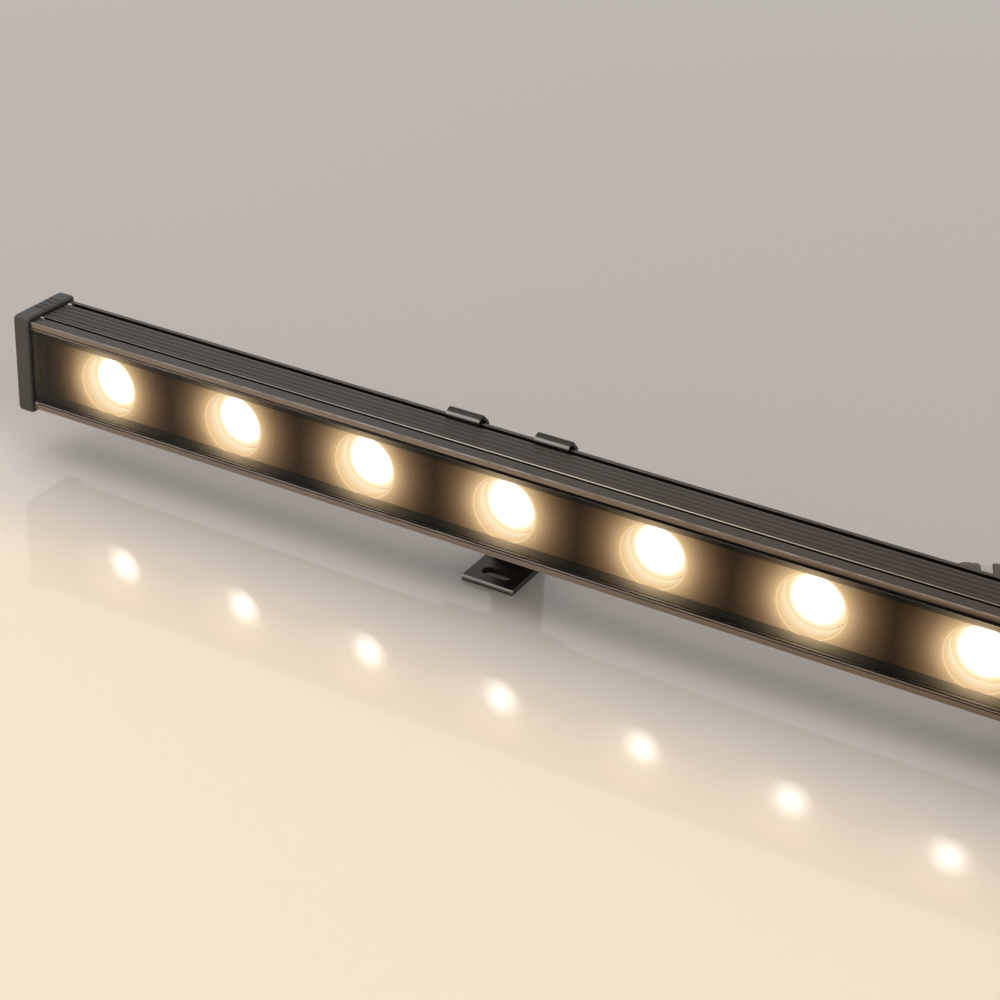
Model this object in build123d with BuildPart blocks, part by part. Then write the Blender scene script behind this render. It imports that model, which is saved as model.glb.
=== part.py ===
from build123d import *
import os
from math import pi, radians, tan

# Linear floodlight: an aluminium extrusion with a row of lenses behind a flat glass.
# X runs along the lamp, the light leaves towards -Y, and Z = 0 is the floor under the feet.
# Sizes are in millimetres. Depths are counted from the front of the lips towards the rear,
# heights from the underside of the extrusion upwards.

# Row of lenses
LENS_COUNT = 9
LENS_PITCH = 52.9
LENS_END_MARGIN = 38.4
LENS_D = 21.2
LENS_CROWN = 0.8
LENS_RIM_T = 1.6
LENS_RIM_STEP = 1.0
LENS_BACK_R = 5.5
LENS_POCKET_R = 3.4
LENS_POCKET_DEPTH = 1.8
LENS_HEIGHT = 9.2

# Panel with a well for every lens
PANEL_T = 1.5
WELL_DEPTH = 4.5
WELL_CLEARANCE = 0.2
COLLAR_T = 1.0
COLLAR_LENGTH = 4.2

# Glass and the black frame behind it
GLASS_RECESS = 0.2
GLASS_T = 3.0
GLASS_GASKET_T = 0.6
GLASS_CLEARANCE = 0.25
GASKET_STRIP = 2.85
GASKET_END_STRIP = 4.0
END_CLEARANCE = 0.3

# Extrusion
LIP_H = 3.0
LIP_LINE_W = 0.45
LIP_LINE_DEPTH = 0.3
LIP_LINE_FROM_OPENING = 0.75
LEDGE_REACH = 2.0
LEDGE_T = 2.0
LEDGE_CLEARANCE = 0.2
WALL = 2.2
REAR_WALL_T = 3.7
EDGE_R = 0.5
LINE_GROOVE_FROM_FRONT = 5.45
LINE_GROOVE_W = 0.9
LINE_GROOVE_DEPTH = 0.9
RIB_COUNT = 5
RIB_DEPTH = 0.4
HOOK_RIB_W = 1.6
HOOK_GROOVE_DEPTH = 2.0
FIN_COUNT = 5
FIN_GAP = 2.2
FIN_PITCH = 4.6
FIN_DEPTH = 1.4
PORT_D = 5.6
PORT_BURIED = 0.8
PORT_BEHIND_LEDGE = 5.3

# Hexagons of nuts and sockets
HEX_SIDES = 6

# Circuit board
BOARD_T = 1.6
BOARD_H = 25.0
BOARD_SEAT_CLEARANCE = 0.2
BOARD_SEAT_LEAD = 1.0
BOARD_END_GAP = 5.0
PAD_T = 0.4
EMITTER_SIZE = 3.5
EMITTER_T = 0.7
EMITTER_DOME_R = 1.3
EMITTER_DOME_T = 0.5
CHIP_L = 6.0
CHIP_W = 5.0
CHIP_T = 1.7
CHIP_FROM_SCREW = 8.0
BOARD_SCREW_R = 1.25
BOARD_SCREW_HEAD_R = 2.4
BOARD_SCREW_HEAD_T = 1.6
BOARD_SCREW_BITE = 1.5
SCREW_CLEARANCE = 0.1

# End caps, their gaskets and screws
CAP_OVERHANG = 1.6
CAP_T = 5.4
CAP_POCKET_CLEARANCE = 0.2
CAP_CORNER_R = 2.0
CAP_EDGE_R = 0.9
CAP_RIB_LINE_W = 0.6
CAP_RIB_LINE_DEPTH = 0.3
CAP_GASKET_T = 0.8
CAP_SCREW_R = 1.45
CAP_SCREW_HEAD_R = 2.75
CAP_SCREW_HEAD_T = 1.8
CAP_SCREW_SINK = 2.2
CAP_SCREW_BITE = 8.0
CROSS_L = 3.0
CROSS_W = 0.7
CROSS_DEPTH = 0.9

# Cable gland in the right cap
CABLE_D = 6.0
CORD_BEND_SHARE = 0.45
GLAND_FORWARD = 1.0
GLAND_THREAD_R = 4.0
GLAND_BORE_CLEARANCE = 0.1
GLAND_COLLAR_FLATS = 13.0
GLAND_COLLAR_T = 3.5
GLAND_SPIGOT_R = 4.9
GLAND_SPIGOT_L = 6.5
GLAND_SEAL_T = 0.8
GLAND_SEAL_L = 5.8
GLAND_FIT = 0.1
GLAND_NUT_R = 6.5
GLAND_NUT_LAND = 5.3
GLAND_NUT_DOME = 4.4
GLAND_NUT_MOUTH_WALL = 0.6
GLAND_FLUTE_COUNT = 12
GLAND_FLUTE_R = 0.7
GLAND_FLUTE_SINK = 0.4
LOCKNUT_FLATS = 10.5
LOCKNUT_T = 3.0
LOCKNUT_ROOM = 0.6
LOCKNUT_TURN = 30.0
THREAD_PAST_NUT = 1.5
CABLE_PAST_THREAD = 2.6
WIRE_D = 1.6
WIRE_SPREAD = 2.6
WIRE_RUN = 6.0
WIRE_BEND_R = 2.5

# Clips that hook over the rear ribs of the extrusion
CLIP_W = 45.8
HOOK_W = 12.7
CLIP_T = 1.2
HOOK_CLEARANCE = 0.25
HOOK_DEPTH = 1.4
HOOK_RISE = 1.1
CLIP_STANDOFF = 1.0
CROWN_RISE = 2.1
CROWN_BEHIND_HOOK = 2.3
LOOP_BEHIND_PLATE = 2.6
LOOP_DROP = 2.2
LOOP_RETURN = 6.2
HOOK_BEND_R = 1.1
CROWN_BEND_R = 1.4
LOOP_BEND_R = 1.6
RETURN_BEND_R = 1.6
PLATE_EDGE = 5.0
LEFT_CLIP_FROM_END = 186.8
RIGHT_CLIP_FROM_END = 110.0

# Feet and their pivots
FLOOR_GAP = 20.5
FOOT_W = 19.5
FOOT_T = 2.0
FOOT_L = 23.7
FOOT_BEND_R = 3.0
FOOT_CORNER_R = 1.2
SLOT_L = 11.2
SLOT_W = 5.0
SLOT_FROM_FRONT = 7.1
PIVOT_BEHIND_CLIP = 5.6
PIVOT_UP = 7.5
PIVOT_TO_UPRIGHT = 3.0
PIVOT_EAR_R = 4.8
EAR_CLEARANCE = 0.3
BOLT_R = 2.0
BOLT_EAR_CLEARANCE = 0.05
BOLT_CHEEK_CLEARANCE = 0.08
WASHER_R = 4.5
WASHER_T = 0.8
BOLT_HEAD_FLATS = 7.0
BOLT_HEAD_T = 2.8
BOLT_SOCKET_FLATS = 3.0
BOLT_SOCKET_DEPTH = 1.4
NUT_T = 3.2
BOLT_PAST_NUT = 1.2

# Connector on the cord's far end, measured from the end of the cord
SLEEVE_L = 19.5
SLEEVE_R_START = 4.4
SLEEVE_R_END = 6.2
CORE_R = 4.8
CORE_L = 20.0
CONNECTOR_FIT = 0.1
COUPLING_R = 8.6
COUPLING_L = 10.0
COUPLING_STEP_R = 7.6
COUPLING_STEP_L = 2.5
COUPLING_FLUTES = 18
COUPLING_FLUTE_R = 0.6
RING_R = 6.7
RING_L = 4.5
CONNECTOR_CAP_R = 7.0
CONNECTOR_CAP_END_T = 3.2
CONNECTOR_CAP_DOME = 5.0
PIN_R = 0.8
PIN_L = 3.0
PIN_SPACING = 4.0

# Sizes that follow from the ones above
LAMP_LENGTH = (LENS_COUNT - 1) * LENS_PITCH + 2 * LENS_END_MARGIN
WELL_BORE_R = LENS_D / 2 + WELL_CLEARANCE
COLLAR_R = WELL_BORE_R + COLLAR_T
LEDGE_OPENING = 2 * (COLLAR_R + LEDGE_CLEARANCE)
REBATE_H = LEDGE_OPENING + 2 * LEDGE_REACH
HOUSING_H = REBATE_H + 2 * LIP_H
MID_H = HOUSING_H / 2
GLASS_BACK_Y = GLASS_RECESS + GLASS_T
PANEL_Y = GLASS_BACK_Y + GLASS_GASKET_T
LEDGE_Y = PANEL_Y + PANEL_T
LENS_FRONT_Y = PANEL_Y + WELL_DEPTH
BOARD_Y = LENS_FRONT_Y + LENS_HEIGHT
PAD_Y = BOARD_Y + BOARD_T
REAR_WALL_Y = PAD_Y + PAD_T
HOUSING_D = REAR_WALL_Y + REAR_WALL_T
HOUSING_LENGTH = LAMP_LENGTH - 2 * (CAP_T + CAP_GASKET_T)
GLASS_L = HOUSING_LENGTH - 2 * END_CLEARANCE
GLASS_H = REBATE_H - 2 * GLASS_CLEARANCE
BOARD_L = HOUSING_LENGTH - 2 * BOARD_END_GAP
BOARD_SEAT_Y = BOARD_Y - BOARD_SEAT_LEAD
BOARD_SEAT_H = BOARD_H + 2 * BOARD_SEAT_CLEARANCE
HOOK_GROOVE_W = CLIP_T + 2 * HOOK_CLEARANCE
HOOK_GROOVE_Y = HOUSING_D - HOOK_RIB_W - HOOK_GROOVE_W
PORT_Y = LEDGE_Y + LEDGE_T + PORT_BEHIND_LEDGE
PORT_H = WALL + PORT_D / 2 - PORT_BURIED
CLIP_Y = HOUSING_D + CLIP_STANDOFF
CLIP_REAR_Y = CLIP_Y + CLIP_T
PIVOT_Y = CLIP_REAR_Y + PIVOT_BEHIND_CLIP
UPRIGHT_Y = PIVOT_Y + PIVOT_TO_UPRIGHT
FOOT_REAR_Y = UPRIGHT_Y + FOOT_T
FOOT_FRONT_Y = FOOT_REAR_Y - FOOT_L
LAMP_Z = FLOOR_GAP
FRONT_Y = (CAP_OVERHANG - FOOT_REAR_Y) / 2
GLAND_Y = (LEDGE_Y + LEDGE_T + BOARD_Y) / 2 - GLAND_FORWARD
LEFT_CLIP_X = -LAMP_LENGTH / 2 + LEFT_CLIP_FROM_END
RIGHT_CLIP_X = LAMP_LENGTH / 2 - RIGHT_CLIP_FROM_END

lens_xs = [(i - (LENS_COUNT - 1) / 2) * LENS_PITCH for i in range(LENS_COUNT)]
lens_spots = [(x, MID_H) for x in lens_xs]
screw_xs = [x + LENS_PITCH / 2 for x in lens_xs[:-1]]
screw_spots = [(x, MID_H) for x in screw_xs]
port_spots = [(PORT_Y, PORT_H), (PORT_Y, HOUSING_H - PORT_H)]

os.makedirs("parts", exist_ok=True)


def across(x):
    """Plane across the lamp at x, its own axes running to the rear and up."""
    return Plane(origin=(x, FRONT_Y, LAMP_Z), x_dir=(0, 1, 0), z_dir=(1, 0, 0))


def facing(depth):
    """Plane along the lamp at a depth, looking out of the front, its own axes along X and up."""
    return Plane(origin=(0, FRONT_Y + depth, LAMP_Z), x_dir=(1, 0, 0), z_dir=(0, -1, 0))


def save(builder, name):
    """Label a finished piece and write it to its own file."""
    builder.part.label = name
    export_step(builder.part, f"parts/{name}.step")


# Housing: one extruded profile, the same above and below its middle
line_groove_end = LINE_GROOVE_FROM_FRONT + LINE_GROOVE_W
rib_pitch = (HOOK_GROOVE_Y - line_groove_end) / RIB_COUNT
rib_starts = [line_groove_end + i * rib_pitch for i in range(RIB_COUNT)]

with BuildPart() as housing:
    with BuildSketch(across(-HOUSING_LENGTH / 2)):
        with Locations((HOUSING_D / 2, MID_H)):
            RectangleRounded(HOUSING_D, HOUSING_H, EDGE_R)
        with Locations((0, MID_H)):
            Rectangle(2 * LEDGE_Y, REBATE_H, mode=Mode.SUBTRACT)
            Rectangle(2 * (LEDGE_Y + LEDGE_T), LEDGE_OPENING, mode=Mode.SUBTRACT)
        with Locations(((LEDGE_Y + LEDGE_T + BOARD_SEAT_Y) / 2, MID_H)):
            Rectangle(BOARD_SEAT_Y - LEDGE_Y - LEDGE_T, HOUSING_H - 2 * WALL, mode=Mode.SUBTRACT)
        with Locations(((BOARD_SEAT_Y + REAR_WALL_Y) / 2, MID_H)):
            Rectangle(REAR_WALL_Y - BOARD_SEAT_Y, BOARD_SEAT_H, mode=Mode.SUBTRACT)
        for face_h, inward in ((HOUSING_H, -1), (0, 1)):
            valley_h = face_h + inward * RIB_DEPTH
            outside_h = face_h - inward * RIB_DEPTH
            with BuildLine():
                for start in rib_starts:
                    ThreePointArc(
                        (start, valley_h), (start + rib_pitch / 2, face_h), (start + rib_pitch, valley_h)
                    )
                Polyline(
                    (HOOK_GROOVE_Y, valley_h),
                    (HOOK_GROOVE_Y, outside_h),
                    (rib_starts[0], outside_h),
                    (rib_starts[0], valley_h),
                )
            make_face(mode=Mode.SUBTRACT)
        with Locations((LINE_GROOVE_FROM_FRONT + LINE_GROOVE_W / 2, MID_H)):
            with GridLocations(0, HOUSING_H - LINE_GROOVE_DEPTH, 1, 2):
                Rectangle(LINE_GROOVE_W, LINE_GROOVE_DEPTH, mode=Mode.SUBTRACT)
        with Locations((HOOK_GROOVE_Y + HOOK_GROOVE_W / 2, MID_H)):
            with GridLocations(0, HOUSING_H - HOOK_GROOVE_DEPTH, 1, 2):
                Rectangle(HOOK_GROOVE_W, HOOK_GROOVE_DEPTH, mode=Mode.SUBTRACT)
        with Locations((0, MID_H)):
            with GridLocations(0, REBATE_H + 2 * LIP_LINE_FROM_OPENING, 1, 2):
                Rectangle(2 * LIP_LINE_DEPTH, LIP_LINE_W, mode=Mode.SUBTRACT)
        with Locations((HOUSING_D, MID_H)):
            with GridLocations(0, FIN_PITCH, 1, FIN_COUNT):
                Rectangle(2 * FIN_DEPTH, FIN_GAP, mode=Mode.SUBTRACT)
        with Locations(*port_spots):
            Circle(PORT_D / 2)
            Circle(CAP_SCREW_R + SCREW_CLEARANCE, mode=Mode.SUBTRACT)
    extrude(amount=HOUSING_LENGTH)
    with BuildSketch(facing(REAR_WALL_Y)):
        with Locations(*screw_spots):
            Circle(BOARD_SCREW_R + SCREW_CLEARANCE)
    extrude(amount=-BOARD_SCREW_BITE - SCREW_CLEARANCE, mode=Mode.SUBTRACT)
save(housing, "housing")

# Glass and its black frame
with BuildPart() as front_glass:
    with BuildSketch(facing(GLASS_BACK_Y)):
        with Locations((0, MID_H)):
            Rectangle(GLASS_L, GLASS_H)
    extrude(amount=GLASS_T)
save(front_glass, "front_glass")

with BuildPart() as glass_gasket:
    with BuildSketch(facing(PANEL_Y)):
        with Locations((0, MID_H)):
            Rectangle(GLASS_L, GLASS_H)
            Rectangle(GLASS_L - 2 * GASKET_END_STRIP, GLASS_H - 2 * GASKET_STRIP, mode=Mode.SUBTRACT)
    extrude(amount=GLASS_GASKET_T)
save(glass_gasket, "glass_gasket")

# Lens panel: a strip that lies on the ledges, with a collar behind every opening
with BuildPart() as lens_panel:
    with BuildSketch(facing(LEDGE_Y)):
        with Locations((0, MID_H)):
            Rectangle(GLASS_L, GLASS_H)
        with Locations(*lens_spots):
            Circle(WELL_BORE_R, mode=Mode.SUBTRACT)
    extrude(amount=PANEL_T)
    with BuildSketch(facing(LEDGE_Y)):
        with Locations(*lens_spots):
            Circle(COLLAR_R)
            Circle(WELL_BORE_R, mode=Mode.SUBTRACT)
    extrude(amount=-COLLAR_LENGTH)
save(lens_panel, "lens_panel")

# Lenses: turned shapes that stand on the board over their emitters
rim_y = LENS_FRONT_Y + LENS_CROWN
lens_r = LENS_D / 2
crown_mid_r = lens_r / 2
crown_mid_y = LENS_FRONT_Y + LENS_CROWN / 4
for number, lens_x in enumerate(lens_xs, start=1):
    lens_origin = (lens_x, FRONT_Y, LAMP_Z + MID_H)
    with BuildPart() as lens:
        with BuildSketch(Plane(origin=lens_origin, x_dir=(1, 0, 0), z_dir=(0, 0, 1))):
            with BuildLine():
                ThreePointArc((0, LENS_FRONT_Y), (crown_mid_r, crown_mid_y), (lens_r, rim_y))
                Polyline(
                    (lens_r, rim_y),
                    (lens_r, rim_y + LENS_RIM_T),
                    (lens_r - LENS_RIM_STEP, rim_y + LENS_RIM_T),
                    (LENS_BACK_R, BOARD_Y),
                    (LENS_POCKET_R, BOARD_Y),
                    (LENS_POCKET_R, BOARD_Y - LENS_POCKET_DEPTH),
                    (0, BOARD_Y - LENS_POCKET_DEPTH),
                    (0, LENS_FRONT_Y),
                )
            make_face()
        revolve(axis=Axis(lens_origin, (0, 1, 0)))
    save(lens, f"lens_{number}")

# Board, the pad behind it, and what is on it
with BuildPart() as led_board:
    with BuildSketch(facing(PAD_Y)):
        with Locations((0, MID_H)):
            Rectangle(BOARD_L, BOARD_H)
        with Locations(*screw_spots):
            Circle(BOARD_SCREW_R + SCREW_CLEARANCE, mode=Mode.SUBTRACT)
    extrude(amount=BOARD_T)
save(led_board, "led_board")

with BuildPart() as thermal_pad:
    with BuildSketch(facing(REAR_WALL_Y)):
        with Locations((0, MID_H)):
            Rectangle(BOARD_L, BOARD_H)
        with Locations(*screw_spots):
            Circle(BOARD_SCREW_R + SCREW_CLEARANCE, mode=Mode.SUBTRACT)
    extrude(amount=PAD_T)
save(thermal_pad, "thermal_pad")

with BuildPart() as led_emitters:
    with BuildSketch(facing(BOARD_Y)):
        with Locations(*lens_spots):
            Rectangle(EMITTER_SIZE, EMITTER_SIZE)
    extrude(amount=EMITTER_T)
    with BuildSketch(facing(BOARD_Y - EMITTER_T)):
        with Locations(*lens_spots):
            Circle(EMITTER_DOME_R)
    extrude(amount=EMITTER_DOME_T)
save(led_emitters, "led_emitters")

with BuildPart() as driver_chips:
    with BuildSketch(facing(BOARD_Y)):
        with Locations(*[(x - CHIP_FROM_SCREW, MID_H) for x in screw_xs]):
            Rectangle(CHIP_L, CHIP_W)
    extrude(amount=CHIP_T)
save(driver_chips, "driver_chips")

with BuildPart() as board_screws:
    with BuildSketch(facing(BOARD_Y)):
        with Locations(*screw_spots):
            Circle(BOARD_SCREW_HEAD_R)
    extrude(amount=BOARD_SCREW_HEAD_T)
    with BuildSketch(facing(BOARD_Y)):
        with Locations(*screw_spots):
            Circle(BOARD_SCREW_R)
    extrude(amount=-BOARD_T - PAD_T - BOARD_SCREW_BITE)
save(board_screws, "board_screws")


# End caps, with a gasket and two screws each
def end_cap(side):
    """Ribbed cap that overhangs the extrusion, with a pocket for its gasket. side is -1 or 1."""
    outer_x = side * LAMP_LENGTH / 2
    cap_depth = CAP_T + CAP_GASKET_T
    with BuildPart() as cap:
        with BuildSketch(across(outer_x)):
            with Locations((HOUSING_D / 2, MID_H)):
                RectangleRounded(HOUSING_D + 2 * CAP_OVERHANG, HOUSING_H + 2 * CAP_OVERHANG, CAP_CORNER_R)
        extrude(amount=-side * cap_depth)
        fillet(cap.faces().filter_by(Axis.X).edges(), CAP_EDGE_R)
        with BuildSketch(across(side * HOUSING_LENGTH / 2)):
            with Locations((HOUSING_D / 2, MID_H)):
                Rectangle(HOUSING_D + 2 * CAP_POCKET_CLEARANCE, HOUSING_H + 2 * CAP_POCKET_CLEARANCE)
        extrude(amount=side * CAP_GASKET_T, mode=Mode.SUBTRACT)
        with BuildSketch(across(outer_x)):
            with Locations(*[(rib_start, MID_H) for rib_start in rib_starts[1:]]):
                with GridLocations(0, HOUSING_H + 2 * CAP_OVERHANG, 1, 2):
                    Rectangle(CAP_RIB_LINE_W, 2 * CAP_RIB_LINE_DEPTH)
        extrude(amount=-side * cap_depth, mode=Mode.SUBTRACT)
        with BuildSketch(across(outer_x)):
            with Locations(*port_spots):
                Circle(CAP_SCREW_R + SCREW_CLEARANCE)
        extrude(amount=-side * CAP_T, mode=Mode.SUBTRACT)
        with BuildSketch(across(outer_x)):
            with Locations(*port_spots):
                Circle(CAP_SCREW_HEAD_R + SCREW_CLEARANCE)
        extrude(amount=-side * CAP_SCREW_SINK, mode=Mode.SUBTRACT)
        if side > 0:
            with BuildSketch(across(outer_x)):
                with Locations((GLAND_Y, MID_H)):
                    Circle(GLAND_THREAD_R + GLAND_FIT)
            extrude(amount=-side * CAP_T, mode=Mode.SUBTRACT)
    return cap


def cap_gasket(side):
    """Sheet between a cap and the end of the extrusion, open round the screws and the gland's nut."""
    with BuildPart() as gasket:
        with BuildSketch(across(side * HOUSING_LENGTH / 2)):
            with Locations((HOUSING_D / 2, MID_H)):
                Rectangle(HOUSING_D, HOUSING_H)
            with Locations(*port_spots):
                Circle(CAP_SCREW_R + SCREW_CLEARANCE, mode=Mode.SUBTRACT)
            if side > 0:
                with Locations((GLAND_Y, MID_H)):
                    RegularPolygon(
                        LOCKNUT_FLATS / 2 + LOCKNUT_ROOM,
                        HEX_SIDES,
                        major_radius=False,
                        rotation=LOCKNUT_TURN,
                        mode=Mode.SUBTRACT,
                    )
        extrude(amount=side * CAP_GASKET_T)
    return gasket


def cap_screws(side):
    """Two cross-head screws, sunk in a cap and turned into the extrusion's ports."""
    seat_x = side * (LAMP_LENGTH / 2 - CAP_SCREW_SINK)
    head_x = seat_x + side * CAP_SCREW_HEAD_T
    shank_l = CAP_T - CAP_SCREW_SINK + CAP_GASKET_T + CAP_SCREW_BITE
    with BuildPart() as screws:
        with BuildSketch(across(seat_x)):
            with Locations(*port_spots):
                Circle(CAP_SCREW_HEAD_R)
        extrude(amount=side * CAP_SCREW_HEAD_T)
        with BuildSketch(across(seat_x)):
            with Locations(*port_spots):
                Circle(CAP_SCREW_R)
        extrude(amount=-side * shank_l)
        with BuildSketch(across(head_x)):
            with Locations(*port_spots):
                Rectangle(CROSS_L, CROSS_W)
                Rectangle(CROSS_W, CROSS_L)
        extrude(amount=-side * CROSS_DEPTH, mode=Mode.SUBTRACT)
    return screws


for side, side_name in ((-1, "left"), (1, "right")):
    save(end_cap(side), f"{side_name}_end_cap")
    save(cap_gasket(side), f"{side_name}_cap_gasket")
    save(cap_screws(side), f"{side_name}_cap_screws")

# Cable gland: a threaded body through the right cap, held by a nut inside
cap_outer_x = LAMP_LENGTH / 2
cap_inner_x = cap_outer_x - CAP_T
cable_r = CABLE_D / 2
gland_bore_r = cable_r + GLAND_BORE_CLEARANCE
spigot_x = cap_outer_x + GLAND_COLLAR_T
spigot_end_x = spigot_x + GLAND_SPIGOT_L
thread_end_x = cap_inner_x - LOCKNUT_T - THREAD_PAST_NUT
gland_center = (cap_outer_x, FRONT_Y + GLAND_Y, LAMP_Z + MID_H)

with BuildPart() as gland_body:
    with BuildSketch(across(cap_outer_x)):
        with Locations((GLAND_Y, MID_H)):
            RegularPolygon(GLAND_COLLAR_FLATS / 2, HEX_SIDES, major_radius=False)
    extrude(amount=GLAND_COLLAR_T)
    with BuildSketch(across(thread_end_x)):
        with Locations((GLAND_Y, MID_H)):
            Circle(GLAND_THREAD_R)
    extrude(amount=cap_outer_x - thread_end_x)
    with BuildSketch(across(spigot_x)):
        with Locations((GLAND_Y, MID_H)):
            Circle(GLAND_SPIGOT_R)
    extrude(amount=GLAND_SPIGOT_L)
    with BuildSketch(across(thread_end_x)):
        with Locations((GLAND_Y, MID_H)):
            Circle(gland_bore_r)
    extrude(amount=spigot_end_x - thread_end_x, mode=Mode.SUBTRACT)
    with BuildSketch(across(spigot_end_x)):
        with Locations((GLAND_Y, MID_H)):
            Circle(gland_bore_r + GLAND_SEAL_T)
    extrude(amount=-GLAND_SEAL_L, mode=Mode.SUBTRACT)
save(gland_body, "gland_body")

with BuildPart() as gland_seal:
    with BuildSketch(across(spigot_end_x)):
        with Locations((GLAND_Y, MID_H)):
            Circle(gland_bore_r + GLAND_SEAL_T - GLAND_FIT)
            Circle(gland_bore_r, mode=Mode.SUBTRACT)
    extrude(amount=-GLAND_SEAL_L)
save(gland_seal, "gland_seal")

with BuildPart() as gland_locknut:
    with BuildSketch(across(cap_inner_x)):
        with Locations((GLAND_Y, MID_H)):
            RegularPolygon(LOCKNUT_FLATS / 2, HEX_SIDES, major_radius=False, rotation=LOCKNUT_TURN)
            Circle(GLAND_THREAD_R + GLAND_FIT, mode=Mode.SUBTRACT)
    extrude(amount=-LOCKNUT_T)
save(gland_locknut, "gland_locknut")

nut_start = GLAND_COLLAR_T
nut_floor = GLAND_COLLAR_T + GLAND_SPIGOT_L
nut_shoulder = nut_start + GLAND_NUT_LAND
nut_end = nut_floor + GLAND_NUT_DOME
nut_bore_r = GLAND_SPIGOT_R + GLAND_FIT
mouth_r = gland_bore_r + GLAND_FIT
mouth_outer_r = mouth_r + GLAND_NUT_MOUTH_WALL
with BuildPart() as gland_cap_nut:
    with BuildSketch(Plane(origin=gland_center, x_dir=(1, 0, 0), z_dir=(0, 0, 1))):
        with BuildLine():
            Polyline(
                (nut_end, mouth_outer_r),
                (nut_end, mouth_r),
                (nut_floor, mouth_r),
                (nut_floor, nut_bore_r),
                (nut_start, nut_bore_r),
                (nut_start, GLAND_NUT_R),
                (nut_shoulder, GLAND_NUT_R),
            )
            TangentArc((nut_shoulder, GLAND_NUT_R), (nut_end, mouth_outer_r), tangent=(1, 0))
        make_face()
    revolve(axis=Axis(gland_center, (1, 0, 0)))
    with BuildSketch(across(spigot_x)):
        with Locations((GLAND_Y, MID_H)):
            with PolarLocations(GLAND_NUT_R + GLAND_FLUTE_SINK, GLAND_FLUTE_COUNT):
                Circle(GLAND_FLUTE_R)
    extrude(amount=GLAND_NUT_LAND, mode=Mode.SUBTRACT)
save(gland_cap_nut, "gland_cap_nut")

# Cable inside the gland and the two wires that go from it to the board
cable_start_x = thread_end_x - CABLE_PAST_THREAD
with BuildPart() as inner_cable:
    with BuildSketch(across(cable_start_x)):
        with Locations((GLAND_Y, MID_H)):
            Circle(cable_r)
    extrude(amount=spigot_end_x - cable_start_x)
save(inner_cable, "inner_cable")

for wire_name, wire_side in (("brown_wire", 1), ("blue_wire", -1)):
    wire_z = LAMP_Z + MID_H + wire_side * WIRE_SPREAD / 2
    wire_y = FRONT_Y + GLAND_Y
    with BuildPart() as wire:
        with BuildLine():
            wire_path = FilletPolyline(
                (cable_start_x, wire_y, wire_z),
                (cable_start_x - WIRE_RUN, wire_y, wire_z),
                (cable_start_x - WIRE_RUN, FRONT_Y + BOARD_Y, wire_z),
                radius=WIRE_BEND_R,
            )
        with BuildSketch(Plane(origin=wire_path @ 0, z_dir=wire_path % 0)):
            Circle(WIRE_D / 2)
        sweep()
    save(wire, wire_name)

# Cord: out of the gland, down to the floor in a wide turn, and back behind the lamp.
# Its points are steps from the end of the gland's spigot and heights above the floor.
cord_steps = [
    (0.0, 0.0, LAMP_Z + MID_H),
    (26.0, 0.0, LAMP_Z + MID_H),
    (54.0, 9.0, 28.0),
    (71.0, 34.0, 14.5),
    (68.0, 64.0, 6.0),
    (47.0, 90.0, 3.2),
    (14.0, 107.0, 3.0),
    (-24.0, 113.0, 3.0),
    (-62.0, 114.0, 3.1),
    (-98.0, 110.5, 5.2),
    (-124.0, 104.0, COUPLING_R),
    (-147.0, 95.0, COUPLING_R),
]
cord_points = [
    Vector(spigot_end_x + step_x, FRONT_Y + GLAND_Y + step_y, z) for step_x, step_y, z in cord_steps
]
cord_radii = []
for before, corner, after in zip(cord_points, cord_points[1:], cord_points[2:]):
    shorter_run = min((corner - before).length, (after - corner).length)
    turn = (corner - before).get_angle(after - corner)
    cord_radii.append(CORD_BEND_SHARE * shorter_run / tan(radians(turn / 2)))
with BuildPart() as power_cord:
    with BuildLine():
        cord_path = FilletPolyline(*cord_points, radius=cord_radii)
    with BuildSketch(Plane(origin=cord_path @ 0, z_dir=cord_path % 0)):
        Circle(cable_r)
    sweep()
save(power_cord, "power_cord")
cord_tube_volume = pi * cable_r**2 * cord_path.length
print("cord length", round(cord_path.length, 1), "radii", [round(r) for r in cord_radii])
print("cord volume over section times length", power_cord.part.volume / cord_tube_volume)

# Connector on the cord's end, lying on the floor
cord_end = cord_points[-1]
heading = (cord_end - cord_points[-2]).normalized()
core_end = SLEEVE_L + CORE_L
coupling_start = SLEEVE_L
step_start = coupling_start + COUPLING_L
ring_start = step_start + COUPLING_STEP_L
cap_start = ring_start + RING_L
cap_bore_end = core_end + PIN_L + END_CLEARANCE
cap_end = cap_bore_end + CONNECTOR_CAP_END_T
core_bore_r = CORE_R + CONNECTOR_FIT


def along_connector(distance):
    """Plane across the connector at a distance from the end of the cord."""
    return Plane(origin=cord_end + heading * distance, z_dir=heading)


connector_side = Plane(origin=cord_end, x_dir=heading, z_dir=(0, 0, 1))
connector_axis = Axis(cord_end, heading)

with BuildPart() as connector_sleeve:
    with BuildSketch(connector_side):
        with BuildLine():
            Polyline(
                (0, 0), (0, SLEEVE_R_START), (SLEEVE_L, SLEEVE_R_END), (SLEEVE_L, 0), (0, 0)
            )
        make_face()
    revolve(axis=connector_axis)
save(connector_sleeve, "connector_sleeve")

with BuildPart() as connector_body:
    with BuildSketch(along_connector(SLEEVE_L)):
        Circle(CORE_R)
    extrude(amount=CORE_L)
save(connector_body, "connector_body")

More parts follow.
